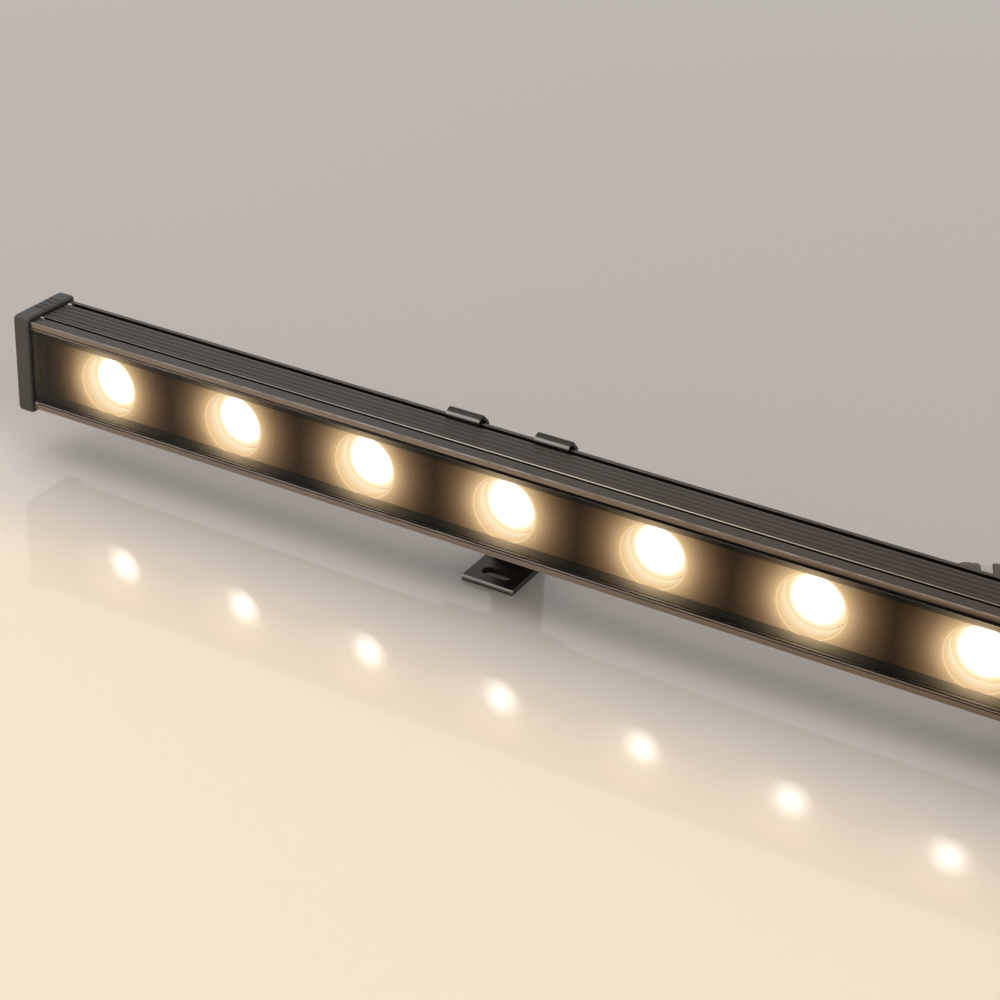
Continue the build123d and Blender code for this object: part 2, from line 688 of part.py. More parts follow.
with BuildPart() as connector_nut:
    with BuildSketch(along_connector(coupling_start)):
        Circle(COUPLING_R)
        with PolarLocations(COUPLING_R, COUPLING_FLUTES):
            Circle(COUPLING_FLUTE_R, mode=Mode.SUBTRACT)
    extrude(amount=COUPLING_L)
    with BuildSketch(along_connector(step_start)):
        Circle(COUPLING_STEP_R)
    extrude(amount=COUPLING_STEP_L)
    with BuildSketch(along_connector(coupling_start)):
        Circle(core_bore_r)
    extrude(amount=COUPLING_L + COUPLING_STEP_L, mode=Mode.SUBTRACT)
save(connector_nut, "connector_nut")

with BuildPart() as connector_seal_ring:
    with BuildSketch(along_connector(ring_start)):
        Circle(RING_R)
        Circle(core_bore_r, mode=Mode.SUBTRACT)
    extrude(amount=RING_L)
save(connector_seal_ring, "connector_seal_ring")

with BuildPart() as connector_cap:
    with BuildSketch(connector_side):
        with BuildLine():
            Polyline(
                (cap_end, 0),
                (cap_bore_end, 0),
                (cap_bore_end, core_bore_r),
                (cap_start, core_bore_r),
                (cap_start, CONNECTOR_CAP_R),
                (cap_end - CONNECTOR_CAP_DOME, CONNECTOR_CAP_R),
            )
            EllipticalCenterArc(
                (cap_end - CONNECTOR_CAP_DOME, 0), CONNECTOR_CAP_DOME, CONNECTOR_CAP_R, arc_size=90
            )
        make_face()
    revolve(axis=connector_axis)
save(connector_cap, "connector_cap")

with BuildPart() as connector_pins:
    with BuildSketch(along_connector(core_end)):
        with GridLocations(PIN_SPACING, 0, 2, 1):
            Circle(PIN_R)
    extrude(amount=PIN_L)
save(connector_pins, "connector_pins")

# Brackets: a clip hooked on the extrusion, and a foot that tilts on a bolt behind it
# The sheet's bends are set out on the middle of its thickness
hook_y = HOUSING_D - HOOK_RIB_W - HOOK_CLEARANCE - CLIP_T / 2
plate_y = CLIP_Y + CLIP_T / 2
hook_top = [
    (hook_y, HOUSING_H - HOOK_DEPTH),
    (hook_y, HOUSING_H + HOOK_RISE),
    (hook_y + CROWN_BEHIND_HOOK, HOUSING_H + CROWN_RISE),
    (plate_y + LOOP_BEHIND_PLATE, HOUSING_H - LOOP_DROP),
    (plate_y, HOUSING_H - LOOP_RETURN),
]
clip_line = hook_top + [(y, HOUSING_H - h) for y, h in reversed(hook_top)]
hook_radii = [HOOK_BEND_R, CROWN_BEND_R, LOOP_BEND_R, RETURN_BEND_R]
clip_radii = hook_radii + hook_radii[::-1]
ear_x = FOOT_W / 2 + EAR_CLEARANCE
ear_outer_x = ear_x + CLIP_T
head_x = ear_outer_x + WASHER_T
bolt_end_x = head_x + NUT_T + BOLT_PAST_NUT


def clip(clip_x):
    """Bent steel clip: two hooks above and two below, each sprung by a loop that bulges to the
    rear, on a plate with two ears that carry the pivot bolt."""
    with BuildPart() as bent:
        for hook_x in (clip_x - CLIP_W / 2, clip_x + CLIP_W / 2 - HOOK_W):
            with BuildSketch(across(hook_x)):
                with BuildLine():
                    FilletPolyline(*clip_line, radius=clip_radii)
                trace(line_width=CLIP_T)
            extrude(amount=HOOK_W)
        with BuildSketch(across(clip_x - CLIP_W / 2)):
            with Locations((plate_y, MID_H)):
                Rectangle(CLIP_T, HOUSING_H - 2 * PLATE_EDGE)
        extrude(amount=CLIP_W)
        for inner_x in (clip_x - ear_outer_x, clip_x + ear_x):
            with BuildSketch(across(inner_x)):
                with Locations((PIVOT_Y, PIVOT_UP)):
                    Circle(PIVOT_EAR_R)
                with Locations(((CLIP_Y + PIVOT_Y) / 2, PIVOT_UP)):
                    Rectangle(PIVOT_Y - CLIP_Y, 2 * PIVOT_EAR_R)
                with Locations((PIVOT_Y, PIVOT_UP)):
                    Circle(BOLT_R + BOLT_EAR_CLEARANCE, mode=Mode.SUBTRACT)
            extrude(amount=CLIP_T)
    return bent


def foot(clip_x):
    """Bent steel foot: a slotted base, an upright behind the lamp, and two cheeks on the bolt."""
    base = Plane(origin=(clip_x - FOOT_W / 2, FRONT_Y, 0), x_dir=(0, 1, 0), z_dir=(1, 0, 0))
    upright_top = LAMP_Z + PIVOT_UP + PIVOT_EAR_R
    with BuildPart() as bent:
        with BuildSketch(base):
            with BuildLine():
                FilletPolyline(
                    (FOOT_FRONT_Y, 0), (FOOT_REAR_Y, 0), (FOOT_REAR_Y, upright_top), radius=FOOT_BEND_R
                )
                offset(amount=FOOT_T, side=Side.LEFT)
            make_face()
        extrude(amount=FOOT_W)
        front_corners = bent.edges().filter_by(Axis.Z).group_by(Axis.Y)[0]
        fillet(front_corners, FOOT_CORNER_R)
        for cheek_x in (clip_x - FOOT_W / 2, clip_x + FOOT_W / 2 - FOOT_T):
            with BuildSketch(across(cheek_x)):
                with Locations((PIVOT_Y, PIVOT_UP)):
                    Circle(PIVOT_EAR_R)
                with Locations(((PIVOT_Y + FOOT_REAR_Y) / 2, PIVOT_UP)):
                    Rectangle(FOOT_REAR_Y - PIVOT_Y, 2 * PIVOT_EAR_R)
                with Locations((PIVOT_Y, PIVOT_UP)):
                    Circle(BOLT_R + BOLT_CHEEK_CLEARANCE, mode=Mode.SUBTRACT)
            extrude(amount=FOOT_T)
        with BuildSketch(Plane.XY):
            with Locations((clip_x, FRONT_Y + FOOT_FRONT_Y + SLOT_FROM_FRONT)):
                SlotOverall(SLOT_L, SLOT_W)
        extrude(amount=FOOT_T, mode=Mode.SUBTRACT)
    return bent


def pivot_bolt(clip_x):
    """Socket-head bolt along X, its head at the right and its nut at the left."""
    with BuildPart() as bolt:
        with BuildSketch(across(clip_x - bolt_end_x)):
            with Locations((PIVOT_Y, PIVOT_UP)):
                Circle(BOLT_R)
        extrude(amount=bolt_end_x + head_x)
        with BuildSketch(across(clip_x + head_x)):
            with Locations((PIVOT_Y, PIVOT_UP)):
                Circle(BOLT_HEAD_FLATS / 2)
        extrude(amount=BOLT_HEAD_T)
        with BuildSketch(across(clip_x + head_x + BOLT_HEAD_T)):
            with Locations((PIVOT_Y, PIVOT_UP)):
                RegularPolygon(BOLT_SOCKET_FLATS / 2, HEX_SIDES, major_radius=False)
        extrude(amount=-BOLT_SOCKET_DEPTH, mode=Mode.SUBTRACT)
    return bolt


def pivot_nut(clip_x):
    """Hexagon nut on the bolt's left end."""
    with BuildPart() as nut:
        with BuildSketch(across(clip_x - head_x)):
            with Locations((PIVOT_Y, PIVOT_UP)):
                RegularPolygon(BOLT_HEAD_FLATS / 2, HEX_SIDES, major_radius=False)
                Circle(BOLT_R + BOLT_EAR_CLEARANCE, mode=Mode.SUBTRACT)
        extrude(amount=-NUT_T)
    return nut


def pivot_washers(clip_x):
    """A washer outside each ear."""
    with BuildPart() as washers:
        for washer_x in (clip_x - head_x, clip_x + ear_outer_x):
            with BuildSketch(across(washer_x)):
                with Locations((PIVOT_Y, PIVOT_UP)):
                    Circle(WASHER_R)
                    Circle(BOLT_R + BOLT_EAR_CLEARANCE, mode=Mode.SUBTRACT)
            extrude(amount=WASHER_T)
    return washers


for clip_x, side_name in ((LEFT_CLIP_X, "left"), (RIGHT_CLIP_X, "right")):
    save(clip(clip_x), f"{side_name}_clip")
    save(foot(clip_x), f"{side_name}_foot")
    save(pivot_bolt(clip_x), f"{side_name}_pivot_bolt")
    save(pivot_nut(clip_x), f"{side_name}_pivot_nut")
    save(pivot_washers(clip_x), f"{side_name}_pivot_washers")
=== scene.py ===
import math

import bmesh
import bpy
import numpy as np
from mathutils import Matrix, Vector


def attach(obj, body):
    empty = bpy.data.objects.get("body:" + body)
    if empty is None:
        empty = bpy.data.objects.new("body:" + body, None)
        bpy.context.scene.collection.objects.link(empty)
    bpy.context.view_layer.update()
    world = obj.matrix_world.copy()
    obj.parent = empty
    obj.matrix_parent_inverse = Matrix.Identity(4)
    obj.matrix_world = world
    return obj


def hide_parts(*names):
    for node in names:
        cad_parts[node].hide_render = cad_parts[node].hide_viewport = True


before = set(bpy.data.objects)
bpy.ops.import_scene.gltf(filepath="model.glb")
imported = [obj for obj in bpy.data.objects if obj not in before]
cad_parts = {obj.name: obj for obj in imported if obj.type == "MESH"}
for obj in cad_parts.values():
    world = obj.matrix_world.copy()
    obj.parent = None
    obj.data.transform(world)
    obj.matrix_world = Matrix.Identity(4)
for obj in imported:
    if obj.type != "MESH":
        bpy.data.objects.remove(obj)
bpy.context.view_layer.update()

# Housing: one aluminium extrusion, open at the front, with fine ribs above and below and short
# cooling fins behind. It is cut to length and anodised dark bronze. Its long edges carry rubbed
# wear and painted highlights, its grooves and rib valleys painted shade, and its lip faces painted
# light; towards the right it is painted darker as shade, and the inner edge of its upper lip black.
mm = 0.001
front_y = -17.2
underside_z = 20.5
housing_half = 243.8
housing_d, housing_h = 23.2, 34.0
middle_h = housing_h / 2
fin_root_d, hook_groove_d = 21.8, 21.6
lip_h, lip_line_d = 31.0, 0.3
rib_from, rib_to, rib_count, rib_depth = 6.85, 19.9, 5, 0.35
corner_steps = 6


def eased(corners, setbacks):
    """Outline with softened corners. Each corner gives way to the quadratic curve that starts one
    setback before it and ends one setback after it. Also returns how far along its turn each
    point is, as half a sine wave that is nothing on the flats."""
    corners = np.asarray(corners, float)
    setbacks = np.asarray(setbacks, float)[:, None]
    before = np.roll(corners, 1, axis=0) - corners
    after = np.roll(corners, -1, axis=0) - corners
    start = corners + setbacks * before / np.linalg.norm(before, axis=1, keepdims=True)
    end = corners + setbacks * after / np.linalg.norm(after, axis=1, keepdims=True)
    share = np.linspace(0.0, 1.0, corner_steps)[None, :, None]
    curve = (1 - share) ** 2 * start[:, None] + 2 * share * (1 - share) * corners[:, None]
    curve = (curve + share**2 * end[:, None]).reshape(-1, 2)
    turn = (np.sin(math.pi * share) * np.sign(setbacks)[:, None]).reshape(-1)
    apart = np.linalg.norm(curve - np.roll(curve, 1, axis=0), axis=1) > 1e-5
    return curve[apart], turn[apart]


def ring_quads(rings, count):
    """Quads that join each ring of points to the next ring. The last point of a ring is followed
    by its first."""
    ring = np.arange(rings - 1)[:, None] * count
    here = np.arange(count)[None]
    after = (here + 1) % count
    quads = np.stack([ring + here, ring + after, ring + count + after, ring + count + here], axis=-1)
    return quads.reshape(-1, 4).tolist()


def carried(outline, stations, insets):
    """Profile carried along X. At every station stands a copy of the outline, given in depth and
    height, drawn in along its normals by the station's inset. The two end copies are closed."""
    edge = np.roll(outline, -1, axis=0) - outline
    edge = edge / np.linalg.norm(edge, axis=1, keepdims=True)
    along = edge + np.roll(edge, 1, axis=0)
    along = along / np.linalg.norm(along, axis=1, keepdims=True)
    inward = np.stack([-along[:, 1], along[:, 0]], axis=1)
    rings = outline[None] + np.asarray(insets, float)[:, None, None] * inward[None]
    count = len(outline)
    points = np.column_stack([
        np.repeat(stations, count),
        front_y + rings[..., 0].ravel(),
        underside_z + rings[..., 1].ravel(),
    ])
    first = np.arange(count)[::-1]
    last = np.arange(len(points) - count, len(points))
    return points, ring_quads(len(stations), count) + [first.tolist(), last.tolist()]


def meshed(name, points, faces):
    """Object whose mesh holds the points, given in millimetres, with doubles merged and all
    faces turned outwards."""
    mesh = bpy.data.meshes.new(name)
    mesh.from_pydata((np.asarray(points) * mm).tolist(), [], faces)
    work = bmesh.new()
    work.from_mesh(mesh)
    bmesh.ops.remove_doubles(work, verts=work.verts, dist=1e-8)
    bmesh.ops.recalc_face_normals(work, faces=work.faces)
    work.to_mesh(mesh)
    work.free()
    piece = bpy.data.objects.new(name, mesh)
    bpy.context.scene.collection.objects.link(piece)
    return piece


def fitted(piece, body, slot, material, *stands_for, crease=35.0):
    """Shade a finished piece smooth up to its creases, give it its material, and fix it to a body
    in place of the solids it stands for."""
    piece.data.shade_smooth()
    piece.data.set_sharp_from_angle(angle=math.radians(crease))
    piece.modifiers.new("even_shading", "WEIGHTED_NORMAL").keep_sharp = True
    piece.data.materials.clear()
    piece.data.materials.append(material)
    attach(piece, body)
    if stands_for:
        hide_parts(*stands_for)
    return piece


def add_node(tree, kind, inputs=None, **options):
    """Shader node with its options set, and each of its inputs given a link or a value."""
    made = tree.nodes.new(kind)
    for option, value in options.items():
        setattr(made, option, value)
    for key, value in (inputs or {}).items():
        if isinstance(value, bpy.types.NodeSocket):
            tree.links.new(value, made.inputs[key])
        else:
            made.inputs[key].default_value = value
    return made


def new_group(name, numbers, outputs):
    """Empty shader node group with number inputs, given with their defaults, and number outputs."""
    tree = bpy.data.node_groups.new(name, "ShaderNodeTree")
    for label, value in numbers.items():
        socket = tree.interface.new_socket(label, in_out="INPUT", socket_type="NodeSocketFloat")
        socket.default_value = value
    for label in outputs:
        tree.interface.new_socket(label, in_out="OUTPUT", socket_type="NodeSocketFloat")
    return tree, tree.nodes.new("NodeGroupInput"), tree.nodes.new("NodeGroupOutput")


surface_grain, grain_in, grain_out = new_group(
    "surface_grain",
    {"Along": 30.0, "Across": 2000.0, "Speck": 1500.0, "Cloud": 12.0},
    ("Lines", "Specks", "Clouds"),
)
grain_place = add_node(surface_grain, "ShaderNodeTexCoord").outputs["Object"]
grain_stretch = add_node(
    surface_grain, "ShaderNodeCombineXYZ",
    {"X": grain_in.outputs["Along"], "Y": grain_in.outputs["Across"], "Z": grain_in.outputs["Across"]},
)
grain_lines = add_node(
    surface_grain, "ShaderNodeVectorMath", {0: grain_place, 1: grain_stretch.outputs[0]},
    operation="MULTIPLY",
)
for grain_name, grain_vector, grain_scale in (
    ("Lines", grain_lines.outputs[0], 1.0),
    ("Specks", grain_place, grain_in.outputs["Speck"]),
    ("Clouds", grain_place, grain_in.outputs["Cloud"]),
):
    grain_noise = add_node(
        surface_grain, "ShaderNodeTexNoise",
        {"Vector": grain_vector, "Scale": grain_scale, "Detail": 2.0},
    )
    surface_grain.links.new(grain_noise.outputs[0], grain_out.inputs[grain_name])


def shifted(tree, value, low, high, new_low, new_high):
    """Value carried from one range to another, held at both ends."""
    return add_node(
        tree, "ShaderNodeMapRange",
        {"Value": value, "From Min": low, "From Max": high, "To Min": new_low, "To Max": new_high},
    ).outputs[0]


def sums(tree, operation, first, second=0.0):
    """One arithmetic step on one or two numbers."""
    return add_node(tree, "ShaderNodeMath", {0: first, 1: second}, operation=operation).outputs[0]


def mixed(tree, share, first, second, blend="MIX"):
    """Colour between the first and the second by a share that varies over the surface."""
    return add_node(
        tree, "ShaderNodeMix", {0: share, 6: first, 7: second}, data_type="RGBA", blend_type=blend,
    ).outputs[2]


def position(tree):
    """The three coordinates of a point of the piece, in metres."""
    place = add_node(tree, "ShaderNodeTexCoord").outputs["Object"]
    return add_node(tree, "ShaderNodeSeparateXYZ", {0: place}).outputs


def finish(name, dark, light, rough, metallic=0.0, grain=None, depth=0.02, lines=0.5):
    """Material between a dark and a light colour. The lines, specks and broad clouds of the grain
    set the share of each and the roughness, and the lines and specks also raise the surface."""
    material = bpy.data.materials.new(name)
    material.use_nodes = True
    tree = material.node_tree
    shader = tree.nodes["Principled BSDF"]
    marks = add_node(tree, "ShaderNodeGroup", node_tree=surface_grain)
    for label, value in (grain or {}).items():
        marks.inputs[label].default_value = value
    drawn = sums(tree, "MULTIPLY", marks.outputs["Lines"], lines)
    speckled = sums(tree, "MULTIPLY", marks.outputs["Specks"], 1.0 - lines)
    relief = sums(tree, "ADD", drawn, speckled)
    patchy = sums(tree, "ADD", relief, marks.outputs["Clouds"])
    colour = mixed(tree, shifted(tree, patchy, 0.75, 1.25, 0.0, 1.0), (*dark, 1.0), (*light, 1.0))
    tree.links.new(colour, shader.inputs["Base Color"])
    tree.links.new(shifted(tree, patchy, 0.7, 1.3, *rough), shader.inputs["Roughness"])
    shader.inputs["Metallic"].default_value = metallic
    bump = add_node(
        tree, "ShaderNodeBump", {"Strength": 0.5, "Distance": depth * mm, "Height": relief},
    )
    tree.links.new(bump.outputs[0], shader.inputs["Normal"])
    return material, tree, shader


rib_share = np.linspace(1.0, 0.0, 9)
rib_width = (rib_to - rib_from) / rib_count
rib_starts = rib_from + rib_width * np.arange(rib_count)[::-1]
rib_d = (rib_starts[:, None] + rib_share[None] * rib_width).ravel()
rib_h = np.tile(housing_h - rib_depth * (2 * rib_share - 1) ** 2, rib_count)
rib_line = np.column_stack([rib_d, rib_h])
rib_line = rib_line[np.r_[True, np.linalg.norm(np.diff(rib_line, axis=0), axis=1) > 1e-6]]
# From the middle of the rear upwards: two fins, the rear rib, and the groove for the hooks.
rear_corners = [
    (fin_root_d, middle_h), (fin_root_d, 18.1), (housing_d, 18.1), (housing_d, 20.5), (fin_root_d, 20.5),
    (fin_root_d, 22.7), (housing_d, 22.7), (housing_d, 25.1), (fin_root_d, 25.1),
    (fin_root_d, 27.3), (housing_d, 27.3), (housing_d, housing_h), (hook_groove_d, housing_h),
    (hook_groove_d, 32.0), (rib_to, 32.0),
]
rear_setbacks = [0, 0.2, 0.3, 0.3, 0.2, 0.2, 0.3, 0.3, 0.2, 0.2, 0.3, 0.5, 0.3, 0.2, 0.2]
# From the ribs forwards: the fine groove, the front lip with a line in its face, the rebate of the
# glass with the panel's ledge, and the inside of the wall down to the middle.
front_corners = [
    (rib_from, 33.98), (6.35, 33.98), (6.35, 33.74), (6.35, 33.70), (6.35, 33.1), (5.45, 33.1),
    (5.0, housing_h), (0.0, housing_h), (0.0, 31.975), (lip_line_d, 31.975), (lip_line_d, 31.525),
    (0.0, 31.525), (0.0, lip_h), (5.3, lip_h), (5.3, 29.0), (7.3, 29.0),
    (7.3, 31.8), (16.5, 31.8), (16.5, 29.7), (19.5, 29.7), (19.5, middle_h),
]
front_setbacks = [
    0.15, 0.15, 0, 0, 0.1, 0.1, 0.2, 0.5, 0.12, 0.05, 0.05, 0.12, 0.2, 0, 0.1, 0.1, 0, 0, 0, 0, 0,
]
rib_setbacks = np.zeros(len(rib_line))
rib_setbacks[[0, -1]] = 0.1
upper_half = np.vstack([rear_corners, rib_line, front_corners])
upper_setbacks = np.concatenate([rear_setbacks, rib_setbacks, front_setbacks])
lower_half = np.column_stack([upper_half[-2:0:-1, 0], housing_h - upper_half[-2:0:-1, 1]])
housing_outline, housing_turns = eased(
    np.vstack([upper_half, lower_half]), np.concatenate([upper_setbacks, upper_setbacks[-2:0:-1]])
)
housing_stations = np.linspace(-housing_half, housing_half, 15)
all_along = np.ones(len(housing_stations))
housing = meshed("extruded_housing", *carried(housing_outline, housing_stations, 0.0 * all_along))


def between(values, low, high):
    """True where a value lies between two limits."""
    return (values > low) & (values < high)


# Marks for the finish, mostly painted light and shade: where on the outline each lies, by depth and
# by distance from the nearer of the top and the underside, and how strong it is along the length.
outline_d, outline_h = housing_outline.T
from_face = np.minimum(outline_h, housing_h - outline_h)
in_line_groove = between(outline_d, 5.05, 6.45) & (from_face > 0.28)
in_hook_groove = between(outline_d, 19.8, 21.7) & (from_face > 0.7)
groove_edge = between(outline_d, 6.3, 6.75) & (from_face < 0.27)
on_ribs = between(outline_d, rib_from, rib_to) & (from_face < 1.5 * rib_depth)
# Painted shade: the rib valleys, and at half strength the line in the lip face, are darkened where shade
# falls in them.
rib_valley_shade = on_ribs * np.clip(from_face / rib_depth, 0.0, 1.0)
# The lips' front faces take painted light: a lighter bronze for the light that these faces catch.
lit_lip_face = (outline_d < 0.05) & (from_face > 0.3)
lip_line = between(outline_d, 0.2, 0.35) & between(from_face, 1.9, 2.6)
on_upper_lip = (outline_d < 0.35) & (from_face < 3.05) & (outline_h > middle_h)
lip_inside = on_upper_lip & (from_face > 1.95)
lip_foot = on_upper_lip & between(from_face, 1.7, 1.95)
# Rubbed wear and painted highlight on every softened corner, weaker at the rear.
rear_wear_and_sheen = np.where(outline_d > 20.0, 0.35, 1.0)
# Painted highlight along the rear edge of the fine groove, strongest near the middle of the length.
edge_shine = np.interp(
    housing_stations,
    [-244, -170, -100, -60, 0, 60, 110, 244],
    [0.0, 0.12, 0.5, 0.9, 1.0, 0.6, 0.25, 0.15],
)
# Painted black: the inner edge of the upper lip from the middle rightwards, and its foot further right.
blackened_lip_inside = np.interp(housing_stations, [-190, -90], [0.0, 1.0])
blackened_lip_foot = np.interp(housing_stations, [-30, 90], [0.0, 0.85])
# Painted shade: the insides of the two grooves are painted near-black.
grooves = np.outer(all_along, in_line_groove | in_hook_groove)
blackened_lip = np.outer(blackened_lip_inside, lip_inside) + np.outer(blackened_lip_foot, lip_foot)
for mark_name, mark_grid in (
    ("lip", np.outer(all_along, lit_lip_face)),
    ("valley", np.outer(all_along, np.maximum(rib_valley_shade, 0.5 * lip_line))),
    ("wear_and_sheen", np.outer(all_along, housing_turns * rear_wear_and_sheen)),
    ("bright", np.outer(edge_shine, groove_edge)),
    ("recess", grooves + blackened_lip),
):
    marked = housing.data.attributes.new(mark_name, "FLOAT", "POINT")
    marked.data.foreach_set("value", mark_grid.ravel())

bronze_dark = (0.070, 0.057, 0.047)
bronze_light = (0.098, 0.081, 0.068)
# Painted shade colour for the right end.
right_shade_bronze = (0.88, 0.78, 0.68)
# Painted light on the lips' front faces.
lip_painted_light = (0.250, 0.208, 0.170)
# Painted shade in the rib valleys and the lip line.
valley_shade_brown = (0.030, 0.024, 0.020)
# Rubbed wear and painted highlight on the softened corners.
rubbed_and_sheen_bronze = (0.42, 0.38, 0.34)
# Painted highlight on the fine groove's rear edge.
groove_edge_highlight = (0.82, 0.72, 0.62)
# Near-black for the grooves' painted shade and the blackened upper lip.
shade_and_lip_black = (0.006, 0.005, 0.005)
# Painted shade: the bronze grows darker and warmer from here towards the right end.
right_shade_from, right_shade_to = -100.0, 90.0
anodised_bronze, bronze_tree, bronze_shader = finish(
    "anodised_bronze", bronze_dark, bronze_light, (0.30, 0.42), 0.85,
    {"Along": 2.0, "Across": 4200.0, "Speck": 2400.0, "Cloud": 14.0}, depth=0.01, lines=0.6,
)
bronze_place = add_node(bronze_tree, "ShaderNodeTexCoord").outputs["Object"]
# The wear and painted highlight on the corners are broken into patches.
wear_and_sheen_patches = add_node(
    bronze_tree, "ShaderNodeTexNoise", {"Vector": bronze_place, "Scale": 160.0, "Detail": 3.0}
)
patch_share = shifted(bronze_tree, wear_and_sheen_patches.outputs[0], 0.35, 0.65, 0.25, 0.75)
right_shade_share = shifted(bronze_tree, position(bronze_tree)["X"], right_shade_from * mm, right_shade_to * mm, 0.0, 1.0)
bronze_colour = bronze_shader.inputs["Base Color"].links[0].from_socket
for mark_name, mark_colour in (
    ("lip", lip_painted_light), ("valley", valley_shade_brown), ("wear_and_sheen", rubbed_and_sheen_bronze), ("bright", groove_edge_highlight),
    ("recess", shade_and_lip_black),
):
    marked = add_node(bronze_tree, "ShaderNodeAttribute", attribute_name=mark_name)
    mark_share = marked.outputs["Fac"]
    if mark_name == "wear_and_sheen":
        mark_share = sums(bronze_tree, "MULTIPLY", mark_share, patch_share)
    bronze_colour = mixed(bronze_tree, mark_share, bronze_colour, (*mark_colour, 1.0))
# Painted shade, darker towards the right end.
bronze_colour = mixed(bronze_tree, right_shade_share, bronze_colour, (*right_shade_bronze, 1.0), "MULTIPLY")
bronze_tree.links.new(bronze_colour, bronze_shader.inputs["Base Color"])
fitted(housing, "lamp", "housing", anodised_bronze, "housing")

# Circuit board with its emitters, driver chips and screws, on a soft heat pad against the rear
# wall. The pieces are bought-in and hidden behind the lens panel, so they keep their own solids.
def dressed(node_name, material):
    """Give a solid that keeps its own shape its material."""
    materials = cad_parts[node_name].data.materials
    materials.clear()
    materials.append(material)


for node_name, dark, light, rough, metallic, speck in (
    ("thermal_pad", (0.30, 0.33, 0.36), (0.40, 0.43, 0.46), (0.75, 0.9), 0.0, 900.0),
    ("led_board", (0.62, 0.62, 0.58), (0.78, 0.78, 0.74), (0.45, 0.6), 0.0, 700.0),
    ("led_emitters", (0.80, 0.58, 0.16), (0.92, 0.74, 0.30), (0.35, 0.5), 0.0, 3000.0),
    ("driver_chips", (0.012, 0.012, 0.013), (0.030, 0.030, 0.032), (0.5, 0.65), 0.0, 4000.0),
    ("board_screws", (0.46, 0.46, 0.45), (0.66, 0.66, 0.65), (0.28, 0.42), 1.0, 2500.0),
    ("brown_wire", (0.10, 0.045, 0.018), (0.16, 0.075, 0.032), (0.4, 0.55), 0.0, 1800.0),
    ("blue_wire", (0.018, 0.06, 0.22), (0.032, 0.10, 0.32), (0.4, 0.55), 0.0, 1800.0),
):
    node_finish, _, _ = finish(
        node_name + "_finish", dark, light, rough, metallic, {"Speck": speck}, lines=0.2
    )
    dressed(node_name, node_finish)

# Lenses: clear moulded optics, one over every emitter, each a crowned disc on a narrowing cone
# that stands on the board. They are lit, so the face burns out and only the rim shows its amber.
lens_pitch = 52.9
lens_count = 9
lens_r = 10.6
crown_edge_r, crown_front, crown_drop = 10.3, 8.3, 0.8
round_steps = 64
lens_z = underside_z + middle_h
lens_xs = (np.arange(lens_count) - (lens_count - 1) / 2) * lens_pitch


def turned(profile, origin, axis, count, flutes=0, flute_depths=0.0):
    """Profile turned about an axis. Each profile point is a distance along the axis and a radius,
    and the radius dips by its flute depth where the cosine of the angle times the number of
    flutes is positive, so the flutes are rounded hollows."""
    profile = np.asarray(profile, float)
    axis = np.asarray(axis, float) / np.linalg.norm(axis)
    side = np.cross(axis, (0.0, 0.0, 1.0) if abs(axis[2]) < 0.9 else (1.0, 0.0, 0.0))
    side = side / np.linalg.norm(side)
    over = np.cross(axis, side)
    angle = np.linspace(0.0, 2 * math.pi, count, endpoint=False)
    hollow = np.clip(np.cos(flutes * angle), 0.0, None) ** 0.7 * (flutes > 0)
    radius = profile[:, 1:2] - np.broadcast_to(flute_depths, len(profile))[:, None] * hollow[None]
    outward = np.cos(angle)[:, None] * side + np.sin(angle)[:, None] * over
    points = np.asarray(origin, float) + profile[:, None, :1] * axis + radius[..., None] * outward[None]
    return points.reshape(-1, 3), ring_quads(len(profile), count)


crown_r = np.linspace(0.0, crown_edge_r, 14)
lens_profile = np.vstack([
    np.column_stack([crown_front + crown_drop * (crown_r / lens_r) ** 2, crown_r]),
    [(9.10, 10.5), (9.22, lens_r), (10.58, lens_r), (10.7, 10.5), (10.7, 9.6), (14.0, 7.6), (17.5, 5.5),
     (17.5, 3.4), (15.7, 3.4), (15.7, 0.0)],
])

lens_glow, glow_in, glow_out = new_group(
    "lens_glow", {"Start": 0.011, "Reach": 0.005}, ("Glow", "Radius")
)
glow_place = position(lens_glow)
glow_x = add_node(
    lens_glow, "ShaderNodeMath",
    {0: glow_place["X"], 1: lens_pitch / 2 * mm, 2: -lens_pitch / 2 * mm}, operation="WRAP",
).outputs[0]
glow_z = sums(lens_glow, "SUBTRACT", glow_place["Z"], lens_z * mm)
glow_r = add_node(
    lens_glow, "ShaderNodeVectorMath",
    {0: add_node(lens_glow, "ShaderNodeCombineXYZ", {"X": glow_x, "Y": glow_z}).outputs[0]},
    operation="LENGTH",
).outputs["Value"]
glow_past = sums(lens_glow, "SUBTRACT", glow_r, glow_in.outputs["Start"])
glow_past = sums(lens_glow, "MAXIMUM", glow_past, 0.0)
glow_fall = sums(lens_glow, "DIVIDE", glow_past, glow_in.outputs["Reach"])
glow_value = sums(lens_glow, "POWER", math.exp(-1.0), glow_fall)
lens_glow.links.new(glow_value, glow_out.inputs["Glow"])
lens_glow.links.new(glow_r, glow_out.inputs["Radius"])

